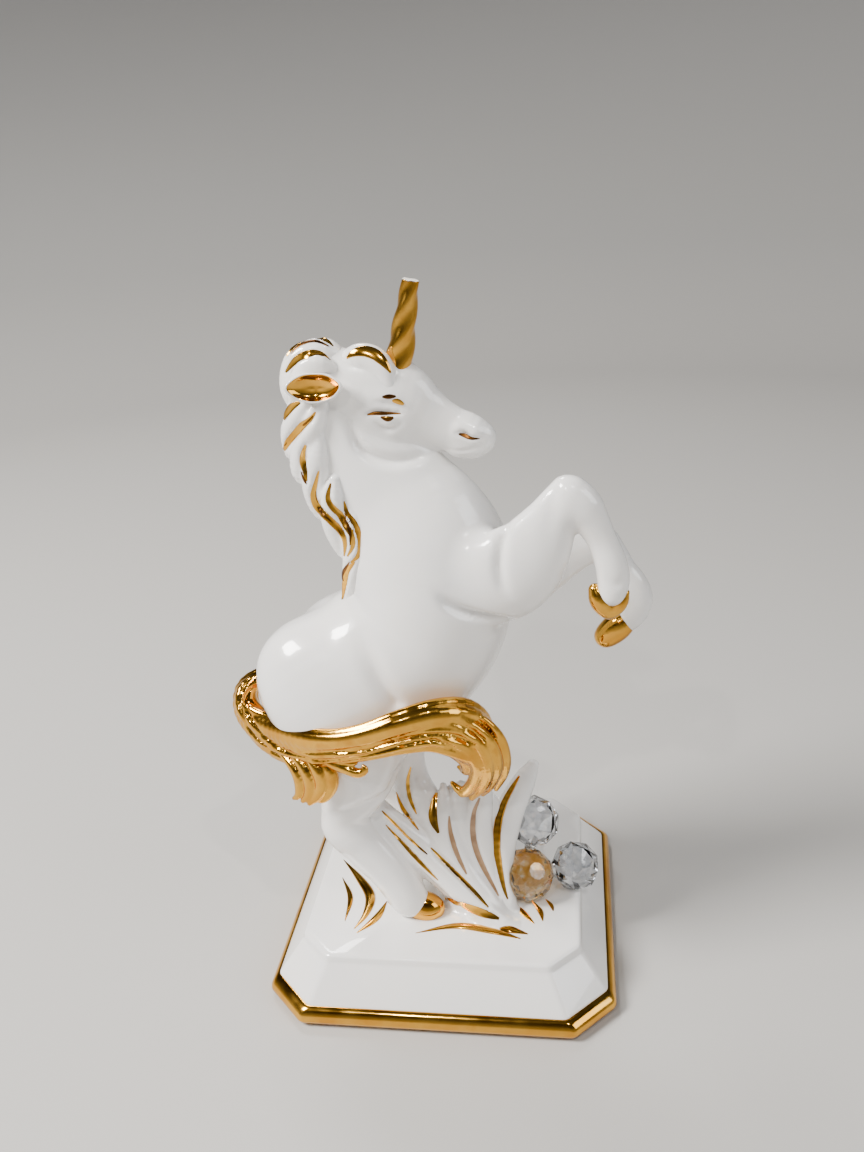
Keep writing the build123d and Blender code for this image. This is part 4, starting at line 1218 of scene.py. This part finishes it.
def gild(name, strokes, surface, lustre=gold_lustre, flatness=stroke_flatness, lift=stroke_lift):
    """A piece of gilding: strokes of places and half widths, in mm, laid on a surface."""
    made = bpy.data.meshes.new(name)
    places, edges, widths = [], [], []
    for stroke in strokes:
        start = len(places)
        t = np.linspace(0, 1, len(stroke))
        swell = np.sin(math.pi * np.clip(t, stroke_end_share, 1 - stroke_end_share))
        places += [tuple(row[:3] * MM) for row in stroke]
        widths += list(stroke[:, 3] * swell**stroke_fullness * MM)
        edges += [(start + k, start + k + 1) for k in range(len(stroke) - 1)]
    made.from_pydata(places, edges, [])
    made.attributes.new("half_width", "FLOAT", "POINT").data.foreach_set("value", widths)
    piece = placed(name, made)
    settle(piece, stroke_tree, {
        "Surface": surface, "Spacing": stroke_spacing * MM, "Flatness": flatness,
        "Lift": lift * MM, "Gilding": lustre})
    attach(piece, "root")
    return piece


def on_surface(lines_px, surface):
    """Strokes along lines of a pixel across, a pixel down and a half width in mm."""
    return [seen_path(rows, surface) for rows in lines_px]


def in_grooves(grooves_px, surface):
    """Strokes that fill grooves, a little wider than they are."""
    lines_px = [[(*row[:2], row[3] * groove_fill) for row in rows] for rows in grooves_px]
    return on_surface(lines_px, surface)


gild("mane_gilding", in_grooves(mane_grooves_px, mane_surface), mane)
# Dark bronze lines painted as shade in the mane's grooves, laid over the gold.
gild("mane_shadow_lines", on_surface(mane_shadows_px, mane_surface), mane, brown_lustre_and_painted_shade,
     lift=shadow_lift)
gild("grass_gilding", in_grooves(grass_grooves_px[:-washed_grooves], grass_surface), grass)
gild("grass_tan_lines", in_grooves(grass_grooves_px[-washed_grooves:], grass_surface), grass,
     lustre_wash)
gild("grass_leaf_gilding", in_grooves(leaf_grooves_px, leaf_surface), leaf)


# The face is drawn with the same brush: the brow, the lid, the eye and the nostril in thin brown
# lustre with touches of gold over it. The forelock carries one broad gold stroke.
brown_lift = 0.06
gold_over_brown_lift = 0.13
face_brown_px = [
    [(366, 415, .45), (375, 413.2, .6), (386, 413.4, .55), (402, 413.6, .25)],
    [(379.5, 416.8, .3), (386, 418.4, .8), (390, 419.2, .8), (394.5, 416.8, .3)],
    [(381, 397, .35), (389, 396.6, .65), (397, 396.2, .3)],
    [(457.5, 434, .4), (464, 435, .6), (471, 438.6, .4), (481, 438.4, .2)],
]
face_gold_px = [[(391, 401, .4), (397, 400.8, .8), (405, 405, .4)],
                [(384, 417, .2), (387, 417.6, .35), (390, 417, .2)]]
for name, lines_px, lustre, lift in (
        ("face_brown_lines", face_brown_px, brown_lustre_and_painted_shade, brown_lift),
        ("face_gilding", face_gold_px, gold_lustre, gold_over_brown_lift)):
    strokes = on_surface(lines_px, head_surface)
    strokes += [far_side(stroke) for stroke in strokes]
    gild(name, strokes, head, lustre, lift=lift)

forelock_lines_px = [
    [(346, 359, .7), (352, 353.5, 1.2), (363, 350.5, 1.5), (374, 353, 1.6), (382, 360, 1.4),
     (388, 368, 1.0), (391, 374, .6)],
]
gild("forelock_gilding", on_surface(forelock_lines_px, forelock_surface), forelock_piece)


# Low ridges of grass are pinched up from the plinth's top at the left, in front and at the right,
# each gilded along its crest.
ridge_spacing = 0.6
ridge_flatness = 0.5
ridge_lift = 0.05
# Rows of the ridges: a place on the plinth's top and a half width.
ground_strokes = {
    "ground_tuft_left": [
        [(-31, 2.4, .4), (-25, -5, 1.2), (-20.6, -12, 1.5), (-20.4, -18.8, 1.2), (-22.5, -24.6, .5)],
        [(-29.7, -5, .3), (-25.8, -13, .8), (-25.4, -22, .3)],
        [(-15.6, -13.6, .4), (-17.4, -20.2, 1.1), (-21.6, -26, .4)],
    ],
    "ground_tuft_front": [
        [(-6.6, -25, .3), (3.8, -21.8, 1.1), (13, -23, 1.3), (20.6, -25.3, .7)],
        [(9.5, -19.5, .4), (13, -20.8, 1.3), (17.6, -22.2, 1.4), (22.4, -23.6, .6)],
    ],
    "ground_tuft_right": [
        [(16.6, -11.4, .4), (20.6, -16, .9), (23.8, -20, .4)],
        [(22.6, -11.2, .3), (25, -15.2, .8), (25.8, -19, .3)],
        [(26.1, -10.4, .3), (27.8, -12.8, .6), (28.4, -15.2, .3)],
    ],
}
for name, lines in ground_strokes.items():
    paths = [eased(rows, ridge_spacing) for rows in lines]
    strokes = [np.insert(path, 2, plinth_top, axis=1) for path in paths]
    tuft = gild(name + "_ridges", strokes, plinth, flatness=ridge_flatness, lift=ridge_lift)
    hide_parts(name)


# Three beads of cut lead crystal are glued beside the grass: two clear with broad facets and one
# tinted champagne with more and smaller ones. The cut faces are flat and meet at sharp edges.
clear_latitudes = (-64, -34, -4, 30, 62)
champagne_latitudes = (-70, -46, -22, 2, 26, 50, 72)
bead_axis = (1.0, 0.6, 0.2)


def glass_with_painted_facet_shade(name, tint_and_facet_shade, index):
    """A smooth clear material of this refractive index, tinted in cells, the darker ones painted facet
    shade as well as tint.
    """
    made, tree, shader, where = surface_material(name)
    # The darker cells are painted facet shade, and in the champagne glass also its tint.
    cloud = add(tree, "ShaderNodeTexVoronoi", {"Vector": where, "Scale": 1 / (2.0 * MM)})
    colour = add(tree, "ShaderNodeValToRGB", {"Fac": cloud}, [(0.15, tint_and_facet_shade[0]), (0.55, tint_and_facet_shade[1])])
    feed(tree, shader, {
        "Base Color": colour, "Transmission Weight": 1.0, "Roughness": 0.0, "IOR": index})
    return made


# Lead crystal, cut and polished: the eye gets bright edges and dark facets, the dark facets partly
# painted as shade in cells of a darker tint. The adhesive is a resin that set clear and glossy, and the
# eye gets small wet dabs where the beads touch.
clear_crystal = glass_with_painted_facet_shade("clear cut crystal", ("#FFFFFF", "#D2D6DC"), 1.62)
champagne_crystal = glass_with_painted_facet_shade("champagne cut crystal", ("#FFF8E4", "#D09A46"), 1.68)
adhesive = glass_with_painted_facet_shade("clear jeweller's adhesive", ("#FFFFFF", "#F6F6F2"), 1.46)
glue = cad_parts["bead_adhesive"]
glue.data.materials.clear()
glue.data.materials.append(adhesive)


def cut_bead(node, sides, latitudes, lean, crystal):
    """A bead of flat triangular facets, in the place and size of its node."""
    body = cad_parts[node]
    box = np.array([body.matrix_world @ Vector(corner) for corner in body.bound_box]) / MM
    radius = (box.max(0) - box.min(0)).max() / 2
    heights = [math.sin(math.radians(latitude)) for latitude in latitudes]
    points = []
    for level, latitude in enumerate(latitudes):
        girth = math.cos(math.radians(latitude))
        for k in range(sides):
            turn = 2 * math.pi * (k + level / 2) / sides
            points.append((girth * math.cos(turn), girth * math.sin(turn), heights[level]))
    top = len(points) - sides
    points += [(0, 0, heights[0]), (0, 0, heights[-1])]
    ring = [(k, (k + 1) % sides) for k in range(sides)]
    faces = []
    for low in range(0, top, sides):
        high = low + sides
        for k, n in ring:
            faces += [(low + k, low + n, high + k), (high + k, low + n, high + n)]
    for k, n in ring:
        faces += [(top + k, top + n, len(points) - 1), (n, k, len(points) - 2)]
    turned = np.array(points) @ np.array(Matrix.Rotation(math.radians(lean), 3, bead_axis)).T
    centre = (box.max(0) + box.min(0)) / 2
    bead = new_piece(node + "_facets", turned * radius + centre, faces, crystal)
    bead.data.shade_flat()
    return bead


for node, sides, latitudes, lean, crystal, slot in (
        ("bead_clear_right", 8, clear_latitudes, 34, clear_crystal, "clear_crystal"),
        ("bead_clear_back", 8, clear_latitudes, 62, clear_crystal, "clear_crystal"),
        ("bead_champagne", 10, champagne_latitudes, 48, champagne_crystal, "champagne_crystal")):
    bead = cut_bead(node, sides, latitudes, lean, crystal)
    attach(bead, "root")
    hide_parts(node)


# The studio: a floor of pale matt paper that sweeps up into a wall all round, painted darker grey towards
# its top as shade, a large soft light from the upper left, weaker ones from the right and behind, and
# small lamps for glints.
pale_floor_and_shaded_wall, tree, shader, where = surface_material("pale matt floor")
height = add(tree, "ShaderNodeSeparateXYZ", {0: where}).outputs["Z"]
rise = add(tree, "ShaderNodeMapRange", {"Value": height, "From Min": 0.0, "From Max": 600 * MM})
# Pale at the floor, and painted darker towards the wall's top as shade.
paper_and_painted_shade = add(tree, "ShaderNodeValToRGB", {"Fac": rise},
            [(0.0, "#B9B7B4"), (0.15, "#A6A5A3"), (1.0, "#48494C")])
feed(tree, shader, {"Base Color": paper_and_painted_shade, "Roughness": 0.6})

floor_radii = (300, 700)
sweep_radius = 350
wall_top = 1500
wall_sides = 96
sweep_bends = np.linspace(0.1, math.pi / 2, 12)
wall_profile = [(radius, 0) for radius in floor_radii]
for bend in sweep_bends:
    wall_profile.append((floor_radii[-1] + sweep_radius * math.sin(bend),
                         sweep_radius * (1 - math.cos(bend))))
wall_profile.append((floor_radii[-1] + sweep_radius, wall_top))
turns = np.arange(wall_sides) * 2 * math.pi / wall_sides
rings = [np.stack([radius * np.cos(turns), radius * np.sin(turns), 0 * turns + height], 1)
         for radius, height in wall_profile]
points, faces = stacked_rings(rings)
points = np.vstack([points, [(0, 0, 0)]])
faces += [((i + 2) % wall_sides, (i + 1) % wall_sides, i, len(points) - 1)
          for i in range(0, wall_sides, 2)]
floor = new_piece("studio_floor", points, np.array(faces)[:, ::-1], pale_floor_and_shaded_wall)

# A lamp's name, place, size, power and colour.
lamps = [
    ("key softbox", (-600, -260, 700), 280, 18.0, (1.0, 0.97, 0.93)),
    ("right fill", (640, -200, 420), 360, 1.8, (0.93, 0.96, 1.0)),
    ("back edge", (-300, 560, 900), 240, 5.0, (1.0, 0.98, 0.95)),
    ("glint left", (-120, -420, 520), 14, 0.8, (1.0, 0.97, 0.92)),
    ("glint right", (180, -300, 560), 14, 0.8, (1.0, 0.97, 0.92)),
]
lamp_aim = Vector((0, 0, 85)) * MM
for name, place, size, power, colour in lamps:
    light = bpy.data.lights.new(name, "AREA")
    light.size = size * MM
    light.energy = power
    light.color = colour
    lamp = placed(name, light)
    lamp.location = Vector(place) * MM
    lamp.rotation_euler = (lamp_aim - lamp.location).to_track_quat("-Z", "Y").to_euler()

world = bpy.data.worlds.new("studio air")
world.use_nodes = True
feed(world.node_tree, world.node_tree.nodes["Background"], {
    "Color": linear("#787A7E"), "Strength": 0.36})
bpy.context.scene.world = world

camera_data = bpy.data.cameras.new("camera")
camera_data.sensor_width = 36.0
camera_data.lens = photo_focal_px * camera_data.sensor_width / photo_size[1]
camera_data.clip_start = 10 * MM
camera = placed("camera", camera_data)
columns = [camera_turn[0], -camera_turn[1], -camera_turn[2], camera_place * MM]
camera.matrix_world = Matrix([*np.column_stack(columns).tolist(), (0, 0, 0, 1)])
bpy.context.scene.camera = camera
